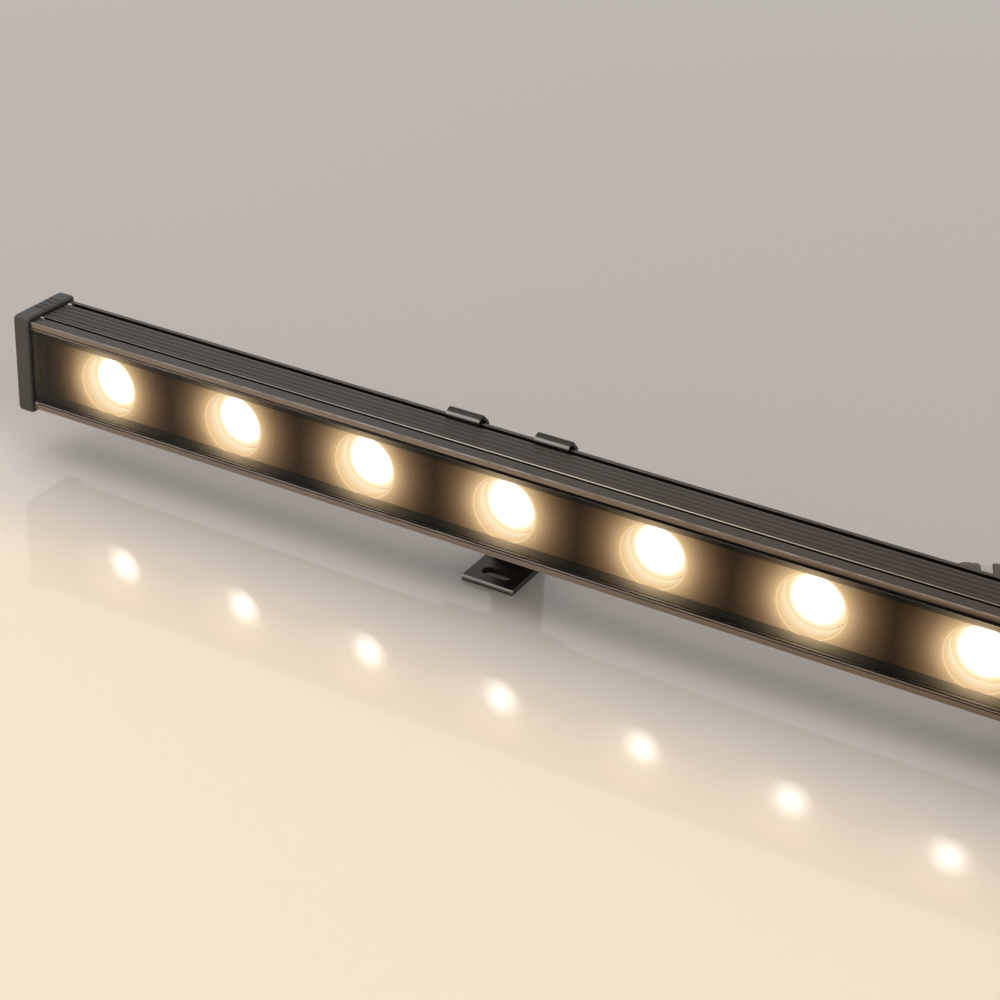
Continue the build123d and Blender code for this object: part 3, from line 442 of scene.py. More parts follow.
lit_lens, lens_tree, lens_shader = finish(
    "lit_lens", (0.62, 0.53, 0.38), (0.72, 0.63, 0.48), (0.08, 0.16), 0.0,
    {"Speck": 900.0, "Cloud": 60.0}, lines=0.0,
)
lens_mask = add_node(lens_tree, "ShaderNodeGroup", node_tree=lens_glow)
lens_inward = shifted(lens_tree, lens_mask.outputs["Radius"], 0.0, lens_r * mm, 1.0, 0.0)
lens_core = sums(lens_tree, "POWER", lens_inward, 2.0)
rim_amber = (0.032, 0.024, 0.013, 1.0)
core_white = (1.0, 0.96, 0.88, 1.0)
lens_tree.links.new(
    mixed(lens_tree, lens_core, rim_amber, core_white), lens_shader.inputs["Emission Color"]
)
lens_shader.inputs["Emission Strength"].default_value = 14.0
for number, lens_x in enumerate(lens_xs, start=1):
    lens_at = (lens_x, front_y, lens_z)
    lens = meshed(f"optic_{number}", *turned(lens_profile, lens_at, (0, 1, 0), round_steps))
    fitted(lens, "lamp", "lens", lit_lens, f"lens_{number}", crease=50.0)

# Lens panel: a dark brass-toned strip pressed with a round well for every lens, each with a
# collar behind it. It lies on the ledges of the housing. Its glow is painted light from the lit
# lenses: a glow round each well, lit well walls and a painted highlight on each rim, dimmed
# at the ends as painted shade.
panel_front, panel_back, collar_back = 3.8, 5.3, 9.5
well_r, collar_r, face_ring_r = 10.8, 11.8, 20.0 / 1.5
rim_rise, rim_fade, well_edge, well_floor = 0.12, 0.04, 0.3, 8.8
shade_from, shade_to = 226.0, 241.0
panel_half, panel_h = 243.5, 27.5
panel_low = middle_h - panel_h / 2


def well_cells(centres, splits, rows, across=24, upward=12):
    """Strip of cells with a round well in each. A row is a depth and a radius, or no radius for
    the cell's own border; its points lie towards the border's points, as seen from the well's
    centre. Borders that two cells share have no wall."""
    run, rise = np.arange(across) / across, np.arange(upward) / upward
    border_s = np.concatenate([run, np.ones(upward), 1 - run, np.zeros(upward)])
    border_t = np.concatenate([np.zeros(across), rise, np.ones(across), 1 - rise])
    left, right = splits[:-1, None], splits[1:, None]
    border = np.stack([
        left + border_s[None] * (right - left),
        np.broadcast_to(panel_low + border_t * panel_h, (len(centres), len(border_t))),
    ], axis=-1)
    centre = np.stack([centres, np.full(len(centres), middle_h)], axis=-1)[:, None]
    towards = border - centre
    towards = towards / np.linalg.norm(towards, axis=-1, keepdims=True)
    flat = np.stack(
        [border if radius is None else centre + radius * towards for _, radius in rows], axis=1
    )
    depth = np.broadcast_to(np.array([row[0] for row in rows])[None, :, None], flat.shape[:3])
    points = np.stack([flat[..., 0], front_y + depth, underside_z + flat[..., 1]], axis=-1)
    count = len(border_s)
    cell = np.arange(len(centres))[:, None, None] * len(rows) * count
    ring = np.arange(len(rows))[None, :, None]
    here = np.arange(count)[None, None]
    next_ring, after = (ring + 1) % len(rows), (here + 1) % count
    quads = np.stack([
        cell + ring * count + here, cell + ring * count + after,
        cell + next_ring * count + after, cell + next_ring * count + here,
    ], axis=-1)
    on_right = (here >= across) & (here < across + upward)
    on_left = here >= 2 * across + upward
    last_cell = len(centres) - 1
    shared = (on_right & (cell < last_cell * len(rows) * count)) | (on_left & (cell > 0))
    keep = ~(shared & (ring == len(rows) - 1))
    return points.reshape(-1, 3), quads[np.broadcast_to(keep, quads.shape[:3])].tolist()


# From the border of the face inwards over the raised rim, down the well, and back along the collar.
panel_rows = [
    (panel_front, None), (panel_front, face_ring_r), (panel_front, 11.9), (panel_front - rim_rise, 11.6),
    (panel_front - rim_rise, 11.25), (panel_front + 0.05, 10.95), (panel_front + 0.35, well_r),
    (6.0, well_r), (7.5, well_r), (collar_back, well_r), (collar_back, collar_r), (panel_back, collar_r),
    (panel_back, None),
]
cell_splits = np.concatenate([[-panel_half], (lens_xs[:-1] + lens_xs[1:]) / 2, [panel_half]])
panel = meshed("lens_well_strip", *well_cells(lens_xs, cell_splits, panel_rows))
glowing_panel, panel_tree, panel_shader = finish(
    "glowing_panel", (0.004, 0.003, 0.002), (0.009, 0.006, 0.004), (0.45, 0.60), 0.0,
    {"Along": 1700.0, "Across": 320.0, "Speck": 1500.0, "Cloud": 40.0}, depth=0.02, lines=0.5,
)
panel_mask = add_node(
    panel_tree, "ShaderNodeGroup", {"Start": 0.0108, "Reach": 0.0045}, node_tree=lens_glow
)
panel_streaks = add_node(
    panel_tree, "ShaderNodeGroup", {"Along": 2100.0, "Across": 900.0, "Speck": 2600.0},
    node_tree=surface_grain,
)
panel_grain = sums(panel_tree, "ADD", panel_streaks.outputs["Lines"], panel_streaks.outputs["Specks"])
panel_place = position(panel_tree)
panel_depth = panel_place["Y"]
from_middle = sums(panel_tree, "ABSOLUTE", panel_place["X"])
end_shade = shifted(panel_tree, from_middle, shade_from * mm, shade_to * mm, 1.0, 0.2)
face_y = front_y + panel_front
in_well = shifted(panel_tree, panel_depth, face_y * mm, (face_y + well_edge) * mm, 0.0, 1.0)
on_rim = shifted(
    panel_tree, panel_depth, (face_y - rim_rise) * mm, (face_y - rim_fade) * mm, 0.55, 0.0
)
panel_light = sums(
    panel_tree, "MULTIPLY", sums(panel_tree, "MULTIPLY", panel_mask.outputs["Glow"], end_shade),
    shifted(panel_tree, panel_grain, 0.7, 1.3, 0.88, 1.12),
)
near_lens = shifted(panel_tree, panel_light, 0.03, 0.45, 0.0, 1.0)
# Painted glow colours of the panel face, far from and near the lenses.
far_glow_orange, near_glow_orange = (0.92, 0.515, 0.235, 1.0), (0.92, 0.61, 0.31, 1.0)
panel_hue = mixed(panel_tree, near_lens, far_glow_orange, near_glow_orange)
unlit_brown = (0.003, 0.0018, 0.001, 1.0)
panel_emission = mixed(panel_tree, panel_light, unlit_brown, panel_hue)
well_deep = shifted(
    panel_tree, panel_depth, (face_y + well_edge) * mm, (front_y + well_floor) * mm, 0.0, 1.0
)
# Painted light on the well walls, creamier deeper in.
well_glow_amber, well_glow_cream = (0.86, 0.58, 0.30, 1.0), (1.05, 0.86, 0.57, 1.0)
well_hue = mixed(panel_tree, well_deep, well_glow_amber, well_glow_cream)
panel_emission = mixed(panel_tree, in_well, panel_emission, well_hue)
# Painted highlight: a thin bright line on each well's raised rim.
rim_highlight_gold = (1.0, 0.80, 0.50, 1.0)
panel_emission = mixed(panel_tree, on_rim, panel_emission, rim_highlight_gold)
panel_tree.links.new(panel_emission, panel_shader.inputs["Emission Color"])
panel_shader.inputs["Emission Strength"].default_value = 1.0
panel_shader.inputs["Specular IOR Level"].default_value = 0.0
fitted(panel, "lamp", "panel", glowing_panel, "lens_panel")

# Glass and its black frame: a toughened pane with ground edges, bedded in the front rebate on a
# printed rubber frame. Light from the lenses hazes the black frame above and below each of them.
hazed_rubber, haze_tree, haze_shader = finish(
    "hazed_rubber", (0.002, 0.002, 0.002), (0.006, 0.0055, 0.005), (0.55, 0.7), 0.0,
    {"Along": 400.0, "Speck": 2400.0}, lines=0.3,
)
haze_mask = add_node(
    haze_tree, "ShaderNodeGroup", {"Start": 0.0112, "Reach": 0.0036}, node_tree=lens_glow
)
haze_black = (0.002, 0.0015, 0.001, 1.0)
haze_amber = (0.43, 0.31, 0.18, 1.0)
haze_tree.links.new(
    mixed(haze_tree, haze_mask.outputs["Glow"], haze_black, haze_amber),
    haze_shader.inputs["Emission Color"],
)
haze_shader.inputs["Emission Strength"].default_value = 1.0
haze_shader.inputs["Specular IOR Level"].default_value = 0.05
dressed("glass_gasket", hazed_rubber)

glass_front, glass_back = 0.2, 3.16
glass_low, glass_high = 3.25, 30.75
glass_corners = [
    (glass_front, glass_low), (glass_back, glass_low), (glass_back, glass_high), (glass_front, glass_high),
]
glass_outline, _ = eased(glass_corners, [0.4] * 4)
glass_stations = np.array([-243.5, -243.3, 0.0, 243.3, 243.5])
pane = meshed("cover_glass", *carried(glass_outline, glass_stations, [0.2, 0.0, 0.0, 0.0, 0.2]))
clear_glass, _, glass_shader = finish(
    "clear_glass", (0.965, 0.965, 0.955), (0.99, 0.99, 0.985), (0.0, 0.003), 0.0,
    {"Speck": 700.0, "Cloud": 25.0}, depth=0.0, lines=0.0,
)
glass_shader.inputs["Transmission Weight"].default_value = 1.0
glass_shader.inputs["IOR"].default_value = 1.45
glass_shader.inputs["Specular Tint"].default_value = (0.0, 0.0, 0.0, 1.0)
fitted(pane, "lamp", "glass", clear_glass, "front_glass")

# End caps: die-cast slabs, painted the housing's bronze, each with a silicone gasket in a pocket
# and two sunk cross-head screws. The slabs have rounded edges, and fine grooves above and below.
cap_outer, cap_inner, pocket_x = 250.0, 243.8, 244.6
cap_overhang, pocket_clearance, pocket_setback = 1.6, 0.2, 0.3
cap_corner_r, cap_edge_r = 2.0, 0.9
cap_screw_d, cap_screw_hs = 12.6, (4.2, 29.8)
cap_line_ds = (9.06, 11.77, 14.48, 17.19)
cap_line_half, cap_line_depth, cap_line_setback = 0.65, 0.4, 0.38
gland_y, gland_hole_r = -5.8, 4.1
overshoot, bore_end = 0.5, -6.0
hole_steps = 40


def block_outline(low_d, high_d, low_h, high_h, setback):
    """Rectangle in depth and height with every corner softened by the same setback."""
    corners = [(low_d, low_h), (high_d, low_h), (high_d, high_h), (low_d, high_h)]
    return eased(corners, [setback] * 4)[0]


def carved(piece, cutters, operation="DIFFERENCE"):
    """Piece with other shapes taken away from it, or joined to it, and the other shapes deleted.
    All of them are cut into triangles first, so that every face is plane, and slivers are
    dissolved afterwards."""
    piece.modifiers.new("split", "TRIANGULATE")
    for cutter in cutters:
        cutter.modifiers.new("split", "TRIANGULATE")
        step = piece.modifiers.new("carve", "BOOLEAN")
        step.solver = "EXACT"
        step.operation = operation
        step.object = cutter
    result = bpy.data.meshes.new_from_object(piece.evaluated_get(bpy.context.evaluated_depsgraph_get()))
    work = bmesh.new()
    work.from_mesh(result)
    bmesh.ops.dissolve_degenerate(work, dist=1e-6, edges=work.edges)
    bmesh.ops.triangulate(work, faces=work.faces)
    bmesh.ops.holes_fill(work, edges=work.edges, sides=4)
    work.to_mesh(result)
    work.free()
    piece.modifiers.clear()
    piece.data = result
    for cutter in cutters:
        bpy.data.objects.remove(cutter)
    return piece


cap_bronze, _, _ = finish(
    "cap_bronze", (0.064, 0.059, 0.055), (0.100, 0.093, 0.087), (0.42, 0.56), 0.55,
    {"Along": 300.0, "Across": 300.0, "Speck": 1700.0, "Cloud": 30.0}, depth=0.03, lines=0.2,
)
gasket_silicone, _, _ = finish(
    "gasket_silicone", (0.012, 0.012, 0.012), (0.030, 0.028, 0.026), (0.45, 0.6), 0.0,
    {"Speck": 1200.0}, lines=0.1,
)
screw_steel, _, _ = finish(
    "screw_steel", (0.34, 0.33, 0.32), (0.58, 0.57, 0.55), (0.22, 0.38), 1.0,
    {"Along": 900.0, "Across": 900.0, "Speck": 2600.0}, depth=0.01, lines=0.4,
)
fillet_share = np.linspace(0.0, math.pi / 2, 6)
fillet_rise = cap_edge_r * (1 - np.cos(fillet_share))
fillet_draw = cap_edge_r * (1 - np.sin(fillet_share))
cap_xs = np.concatenate([cap_inner + fillet_rise, cap_outer - fillet_rise[::-1]])
cap_draws = np.concatenate([fillet_draw, fillet_draw[::-1]])
cap_flange = block_outline(
    -cap_overhang, housing_d + cap_overhang, -cap_overhang, housing_h + cap_overhang, cap_corner_r
)
pocket = block_outline(
    -pocket_clearance, housing_d + pocket_clearance, -pocket_clearance, housing_h + pocket_clearance,
    pocket_setback,
)
screw_sink = [
    (overshoot, 0.0), (overshoot, 3.1), (0.0, 3.1), (-0.25, 2.85), (-2.2, 2.85), (-2.2, 1.55),
    (bore_end, 1.55), (bore_end, 0.0),
]
gland_hole = [(overshoot, 0.0), (overshoot, gland_hole_r), (bore_end, gland_hole_r), (bore_end, 0.0)]
gland_centre = (cap_outer, gland_y, lens_z)
for side, side_name in ((-1, "left"), (1, "right")):
    order = np.argsort(side * cap_xs)
    cap = meshed(side_name + "_cap", *carried(cap_flange, side * cap_xs[order], cap_draws[order]))
    pocket_xs = np.sort(side * np.array([cap_inner - overshoot, pocket_x]))
    cutters = [meshed("pocket", *carried(pocket, pocket_xs, [0.0, 0.0]))]
    groove_xs = np.sort(side * np.array([cap_inner - overshoot, cap_outer + overshoot]))
    for line_d in cap_line_ds:
        for line_h in (-cap_overhang, housing_h + cap_overhang):
            groove = block_outline(
                line_d - cap_line_half, line_d + cap_line_half,
                line_h - cap_line_depth, line_h + cap_line_depth, cap_line_setback,
            )
            cutters.append(meshed("groove", *carried(groove, groove_xs, [0.0, 0.0])))
    for screw_h in cap_screw_hs:
        seat = (side * cap_outer, front_y + cap_screw_d, underside_z + screw_h)
        cutters.append(meshed("sink", *turned(screw_sink, seat, (side, 0, 0), hole_steps)))
    if side > 0:
        cutters.append(meshed("gland_hole", *turned(gland_hole, gland_centre, (1, 0, 0), hole_steps)))
    carved(cap, cutters)
    fitted(cap, "lamp", "cap", cap_bronze, side_name + "_end_cap", crease=40.0)
    dressed(side_name + "_cap_gasket", gasket_silicone)
    dressed(side_name + "_cap_screws", screw_steel)

# Sealant: pale silicone pressed out of the joint between housing and caps. Small uneven beads of
# it show where the housing's two upper grooves end, and at the lower front corner.
bead_steps = 16
bead_places = {
    "line_groove": ((242.9, 5.75, 33.55), (0.9, 0.42, 0.42)),
    "hook_groove": ((242.8, 20.75, 33.0), (1.0, 0.75, 0.85)),
    "front_corner": ((243.0, 0.75, 2.1), (0.8, 0.75, 1.0)),
}


def lump(centre, radii, waves):
    """Uneven bead: an ellipsoid given by its angle round and its angle from pole to pole, with its
    radius swelling by a few sine waves of both angles."""
    polar = np.linspace(0.0, math.pi, bead_steps)[:, None]
    around = np.linspace(0.0, 2 * math.pi, 2 * bead_steps, endpoint=False)[None]
    swell = 1.0 + 0.10 * np.sin(polar) * np.sin(waves * around + 3.0 * polar) - 0.06 * np.sin(2 * polar)
    ball = np.stack([
        np.broadcast_to(np.cos(polar), swell.shape),
        np.sin(polar) * np.cos(around),
        np.sin(polar) * np.sin(around),
    ], axis=-1)
    points = np.asarray(centre) + np.asarray(radii) * swell[..., None] * ball
    return points.reshape(-1, 3), ring_quads(bead_steps, 2 * bead_steps)


silicone, _, _ = finish(
    "silicone", (0.42, 0.40, 0.37), (0.60, 0.58, 0.54), (0.45, 0.6), 0.0, {"Speck": 1200.0}, lines=0.1,
)
for side, side_name in ((-1, "left"), (1, "right")):
    for waves, (bead_name, (place, radii)) in enumerate(bead_places.items(), start=2):
        centre = (side * place[0], front_y + place[1], underside_z + place[2])
        bead = meshed(f"{side_name}_{bead_name}_sealant", *lump(centre, radii, waves))
        fitted(bead, "lamp", "silicone", silicone, crease=80.0)

# Cable gland: a moulded black fitting screwed through the right cap. Its fluted cap nut squeezes
# a rubber seal on the cord, and a lock nut holds it from inside.
flute_steps = 144
gland_flute_count = 12
gland_r, dome_start, dome_length, dome_drop = 6.5, 8.8, 5.4, 2.6
dome_turn = np.linspace(0.0, 1.0, 9)
gland_profile = np.vstack([
    [(3.5, 5.0), (3.5, 6.2), (3.8, gland_r), (5.0, gland_r), (8.4, gland_r), (dome_start, gland_r)],
    np.column_stack([dome_start + dome_length * dome_turn, gland_r - dome_drop * dome_turn**2.2])[1:],
    [(14.4, 3.75), (14.4, 3.2), (10.0, 3.2), (10.0, 5.0), (3.5, 5.0)],
])
gland_flutes = np.concatenate([
    [0.0, 0.0, 0.1, 0.35, 0.35, 0.3], 0.3 * (1 - dome_turn[1:]) ** 2, np.zeros(5),
])
gland_turning = turned(
    gland_profile, gland_centre, (1, 0, 0), flute_steps, gland_flute_count, gland_flutes
)
gland_nut = meshed("gland_grip_nut", *gland_turning)
black_plastic, _, _ = finish(
    "black_plastic", (0.055, 0.041, 0.030), (0.100, 0.077, 0.058), (0.46, 0.62), 0.0,
    {"Along": 900.0, "Across": 900.0, "Speck": 2200.0}, depth=0.03, lines=0.2,
)
fitted(gland_nut, "lamp", "black_plastic", black_plastic, "gland_cap_nut", crease=40.0)
black_rubber, _, _ = finish(
    "black_rubber", (0.010, 0.010, 0.010), (0.024, 0.023, 0.022), (0.55, 0.72), 0.0,
    {"Along": 120.0, "Across": 900.0, "Speck": 1800.0}, depth=0.04, lines=0.3,
)
for node_name, node_finish in (
    ("gland_body", black_plastic), ("gland_locknut", black_plastic), ("gland_seal", black_rubber),
    ("inner_cable", black_rubber),
):
    dressed(node_name, node_finish)

# Connector: a waterproof coupling moulded on the cord's end. A ribbed sleeve grips the cord, a
# fluted nut turns on the body, and a domed blanking cap with a pale seal ring closes the pins.
plug_start = np.array([113.0, 89.2, 8.6])
plug_axis = np.array([-0.9312, -0.3644, 0.0])
plug_core_r = 4.9
sleeve_end, nut_end, ring_end = 19.5, 32.0, 36.5
sleeve_rib_from, sleeve_rib_to, sleeve_rib_pitch, sleeve_rib_depth = 2.0, 15.0, 2.6, 0.45
nut_flute_count = 18
blank_r, blank_dome_start, blank_dome_length = 7.0, 41.0, 5.0
sleeve_at = np.linspace(0.0, sleeve_end, 118)
sleeve_r = 4.4 + 1.8 * sleeve_at / sleeve_end
sleeve_wave = np.sin(2 * math.pi * (sleeve_at - sleeve_rib_from) / sleeve_rib_pitch)
sleeve_ribs = sleeve_rib_depth * np.clip(sleeve_wave, 0.0, 1.0)
sleeve_ribs = sleeve_ribs * between(sleeve_at, sleeve_rib_from, sleeve_rib_to)
sleeve_profile = np.vstack([
    [(0.0, 0.0), (0.0, 3.9)], np.column_stack([sleeve_at, sleeve_r - sleeve_ribs])[2:],
    [(sleeve_end, 0.0)],
])
nut_profile = [
    (sleeve_end, plug_core_r), (sleeve_end, 7.9), (20.1, 8.5), (20.6, 8.6), (22.0, 8.6), (27.5, 8.6),
    (28.6, 8.6), (29.1, 8.4), (29.5, 7.9), (29.5, 7.6), (31.6, 7.6), (nut_end, 7.3),
    (nut_end, plug_core_r), (sleeve_end, plug_core_r),
]
nut_flutes = [0.0, 0.1, 0.4, 0.55, 0.6, 0.6, 0.5, 0.3, 0.0, 0.0, 0.0, 0.0, 0.0, 0.0]
ring_profile = [
    (nut_end, plug_core_r), (nut_end, 6.2), (32.3, 6.6), (33.2, 6.7), (33.9, 6.5), (34.25, 6.35),
    (34.6, 6.5), (35.3, 6.7), (36.2, 6.6), (ring_end, 6.2), (ring_end, plug_core_r),
    (nut_end, plug_core_r),
]
cap_dome = np.linspace(0.0, math.pi / 2, 14)
blank_profile = np.vstack([
    [(42.8, 0.0), (42.8, plug_core_r), (ring_end, plug_core_r), (ring_end, 6.6), (36.9, blank_r),
     (38.4, blank_r), (38.6, 6.8), (39.0, 6.8), (39.2, blank_r)],
    np.column_stack([
        blank_dome_start + blank_dome_length * np.sin(cap_dome), blank_r * np.cos(cap_dome),
    ]),
])
pale_seal, _, _ = finish(
    "pale_seal", (0.34, 0.30, 0.25), (0.47, 0.42, 0.36), (0.4, 0.55), 0.0, {"Speck": 1500.0}, lines=0.1,
)
for piece_name, profile, flute_count, flute_depths, slot, material, stands_for in (
    ("lead_sleeve", sleeve_profile, 0, 0.0, "black_rubber", black_rubber, "connector_sleeve"),
    ("lead_coupling", nut_profile, nut_flute_count, nut_flutes, "black_plastic", black_plastic,
     "connector_nut"),
    ("lead_seal_ring", ring_profile, 0, 0.0, "silicone", pale_seal, "connector_seal_ring"),
    ("lead_blank_cap", blank_profile, 0, 0.0, "black_rubber", black_plastic, "connector_cap"),
):
    steps = flute_steps if flute_count else round_steps
    turning = turned(profile, plug_start, plug_axis, steps, flute_count, flute_depths)
    fitted(meshed(piece_name, *turning), "lamp", slot, material, stands_for, crease=40.0)
contact_metal, _, _ = finish(
    "contact_metal", (0.55, 0.42, 0.18), (0.78, 0.62, 0.30), (0.2, 0.35), 1.0,
    {"Speck": 3000.0}, lines=0.2,
)
dressed("connector_body", black_plastic)
dressed("connector_pins", contact_metal)

# Power cord: a black rubber lead that leaves the gland in the right cap, drops to the floor
# in a wide turn and comes back behind the lamp to its connector. It is a plain round cable.
cord_route = [
    (0.2600, -0.0058, 0.0375),
    (0.2860, -0.0058, 0.0375),
    (0.3140, 0.0032, 0.0280),
    (0.3310, 0.0282, 0.0145),
    (0.3280, 0.0582, 0.0060),
    (0.3070, 0.0842, 0.0032),
    (0.2740, 0.1012, 0.0030),
    (0.2360, 0.1072, 0.0030),
    (0.1980, 0.1082, 0.0031),
    (0.1620, 0.1047, 0.0052),
    (0.1360, 0.0982, 0.0086),
    (0.1130, 0.0892, 0.0086),
]
cord_diameter = 0.006
cord_curve = bpy.data.curves.new("power_lead", "CURVE")
cord_curve.dimensions = "3D"
cord_curve.bevel_depth = cord_diameter / 2
cord_curve.bevel_resolution = 8
cord_curve.resolution_u = 24
cord_curve.use_fill_caps = True
cord_line = cord_curve.splines.new("NURBS")
cord_line.points.add(len(cord_route) - 1)
cord_line.points.foreach_set("co", np.hstack([cord_route, np.ones((len(cord_route), 1))]).ravel())
cord_line.order_u = 3
cord_line.use_endpoint_u = True
power_lead = bpy.data.objects.new("power_lead", cord_curve)
bpy.context.scene.collection.objects.link(power_lead)
cord_curve.materials.append(black_rubber)
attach(power_lead, "lamp")
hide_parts("power_cord")

# Clips: spring steel bent so that two hooks above and two below snap into the rear grooves of
# the housing and slide along it. A plate joins them, with two ears for the pivot bolt.
clip_xs = {"left": -63.2, "right": 140.0}
clip_t = 1.2
clip_half, hook_w = 22.9, 12.7
ear_inner, ear_outer, ear_r = 10.05, 11.25, 4.8
pivot_d, pivot_h = 31.0, 7.5
bolt_hole_r, bolt_hole_half = 2.05, 20.0
plate_front_d, plate_rear_d, plate_edge, plate_setback = 24.2, 25.4, 5.0, 0.3
ear_root_d = 24.6
hook_top = np.array([(20.75, 32.6), (20.75, 35.1), (23.05, 36.1), (27.4, 31.8), (24.8, 27.8)])
hook_line = np.vstack([hook_top, (hook_top * (1, -1) + (0, housing_h))[::-1]])
hook_bends = [0.0, 0.72, 1.06, 1.30, 0.47]
hook_setbacks = hook_bends + hook_bends[::-1]
# Joined pieces stand this far apart where their faces would share a plane.
hidden_fit = 0.03
end_chamfer = 0.13


def bent_sheet(line, setbacks, thickness):
    """Outline of a bent sheet: an open line with softened bends along the middle of the sheet,
    moved half the thickness to each side along its normals and joined at both ends."""
    middle, _ = eased(line, setbacks)
    run = np.gradient(middle, axis=0)
    run = run / np.linalg.norm(run, axis=1, keepdims=True)
    half = thickness / 2 * np.stack([-run[:, 1], run[:, 0]], axis=1)
    return np.vstack([middle + half, (middle - half)[::-1]])


def ear_outline(from_d, radius):
    """Tab with a round end about the pivot: half a circle, run straight to the plate it stands on."""
    half_turn = np.linspace(-math.pi / 2, math.pi / 2, 25)
    away = 1.0 if pivot_d > from_d else -1.0
    round_end = np.column_stack([
        pivot_d + away * radius * np.cos(half_turn), pivot_h + radius * np.sin(half_turn),
    ])
    tab = np.vstack([round_end, [(from_d, pivot_h + radius), (from_d, pivot_h - radius)]])
    return tab if away > 0 else tab[::-1]


def soft_ends(low, high):
    """Stations and insets of a short run along X with both ends chamfered."""
    stations = np.array([low, low + end_chamfer, high - end_chamfer, high])
    return stations, [end_chamfer, 0.0, 0.0, end_chamfer]


def highlit_steel(name, dark, light, highlight_colour, highlight_d, highlight_h):
    """Dark plated steel with a painted highlight in front of a depth and above a height, both given
    as the two ends of the change."""
    steel, tree, shader = finish(
        name, dark, light, (0.26, 0.42), 0.9,
        {"Along": 240.0, "Across": 1400.0, "Speck": 1900.0, "Cloud": 40.0}, depth=0.02, lines=0.6,
    )
    place = position(tree)
    in_front = shifted(tree, place["Y"], (front_y + highlight_d[0]) * mm, (front_y + highlight_d[1]) * mm, 1.0, 0.0)
    above = shifted(
        tree, place["Z"], (underside_z + highlight_h[0]) * mm, (underside_z + highlight_h[1]) * mm, 0.0, 1.0
    )
    plated = shader.inputs["Base Color"].links[0].from_socket
    # Painted highlight, mixed in where both shares meet.
    highlight_share = sums(tree, "MULTIPLY", in_front, above)
    tree.links.new(mixed(tree, highlight_share, plated, (*highlight_colour, 1.0)), shader.inputs["Base Color"])
    return steel


# Painted highlight on the upper part of the hooks' front bends.
clip_steel = highlit_steel(
    "clip_steel", (0.027, 0.022, 0.018), (0.054, 0.045, 0.038), (0.50, 0.45, 0.41), (20.3, 20.9),
    (34.3, 35.3),
)
hook_outline = bent_sheet(hook_line, hook_setbacks, clip_t)[::-1]
plate_outline = block_outline(
    plate_front_d + hidden_fit, plate_rear_d - hidden_fit, plate_edge, housing_h - plate_edge,
    plate_setback,
)
plate_half = clip_half - hidden_fit
clip_ear = ear_outline(ear_root_d, ear_r)
bolt_hole = [
    (-bolt_hole_half, 0.0), (-bolt_hole_half, bolt_hole_r), (bolt_hole_half, bolt_hole_r),
    (bolt_hole_half, 0.0),
]
for side_name, clip_x in clip_xs.items():
    plate = carried(plate_outline, *soft_ends(clip_x - plate_half, clip_x + plate_half))
    clip = meshed(side_name + "_spring_clip", *plate)
    added = []
    for low in (clip_x - clip_half, clip_x + clip_half - hook_w):
        added.append(meshed("hook", *carried(hook_outline, *soft_ends(low, low + hook_w))))
    for low in (clip_x - ear_outer, clip_x + ear_inner):
        added.append(meshed("ear", *carried(clip_ear, *soft_ends(low, low + clip_t))))
    carved(clip, added, "UNION")
    pivot_at = (clip_x, front_y + pivot_d, underside_z + pivot_h)
    carved(clip, [meshed("bolt_hole", *turned(bolt_hole, pivot_at, (1, 0, 0), hole_steps))])
    fitted(clip, side_name + "_bracket", "bracket", clip_steel, side_name + "_clip", crease=40.0)

# Pivots: a socket-head bolt through the clip's ears and the foot's cheeks, with a washer outside
# each ear and a nut. They are plated steel fasteners, so they keep their own solids.
for side_name in clip_xs:
    for node_name in ("_pivot_bolt", "_pivot_nut", "_pivot_washers"):
        dressed(side_name + node_name, screw_steel)

# Feet: steel plate bent up behind the lamp, with a slot in the base for a fixing screw and two
# cheeks on the pivot bolt. The edges are tumbled round before the dark plating.
foot_half, foot_t = 9.75, 2.0
foot_front_d, foot_rear_d = 12.3, 36.0
foot_top_h = pivot_h + ear_r
slot_d, slot_half, slot_r = 19.4, 3.1, 2.5
cheek_root, slot_overshoot = 0.4, 1.0
floor_h = -underside_z
foot_corners = [
    (foot_front_d, floor_h), (foot_rear_d, floor_h), (foot_rear_d, foot_top_h),
    (foot_rear_d - foot_t, foot_top_h), (foot_rear_d - foot_t, floor_h + foot_t),
    (foot_front_d, floor_h + foot_t),
]
foot_outline, _ = eased(foot_corners, [0.3, 3.0, 0.4, 0.4, 1.0, 0.5])


def raised(outline, low_z, high_z):
    """Plan outline, in X and Y, raised straight up between two heights and closed at both."""
    count = len(outline)
    points = np.vstack([np.column_stack([outline, np.full(count, z)]) for z in (low_z, high_z)])
    here = np.arange(count)
    return points, ring_quads(2, count) + [here[::-1].tolist(), (here + count).tolist()]


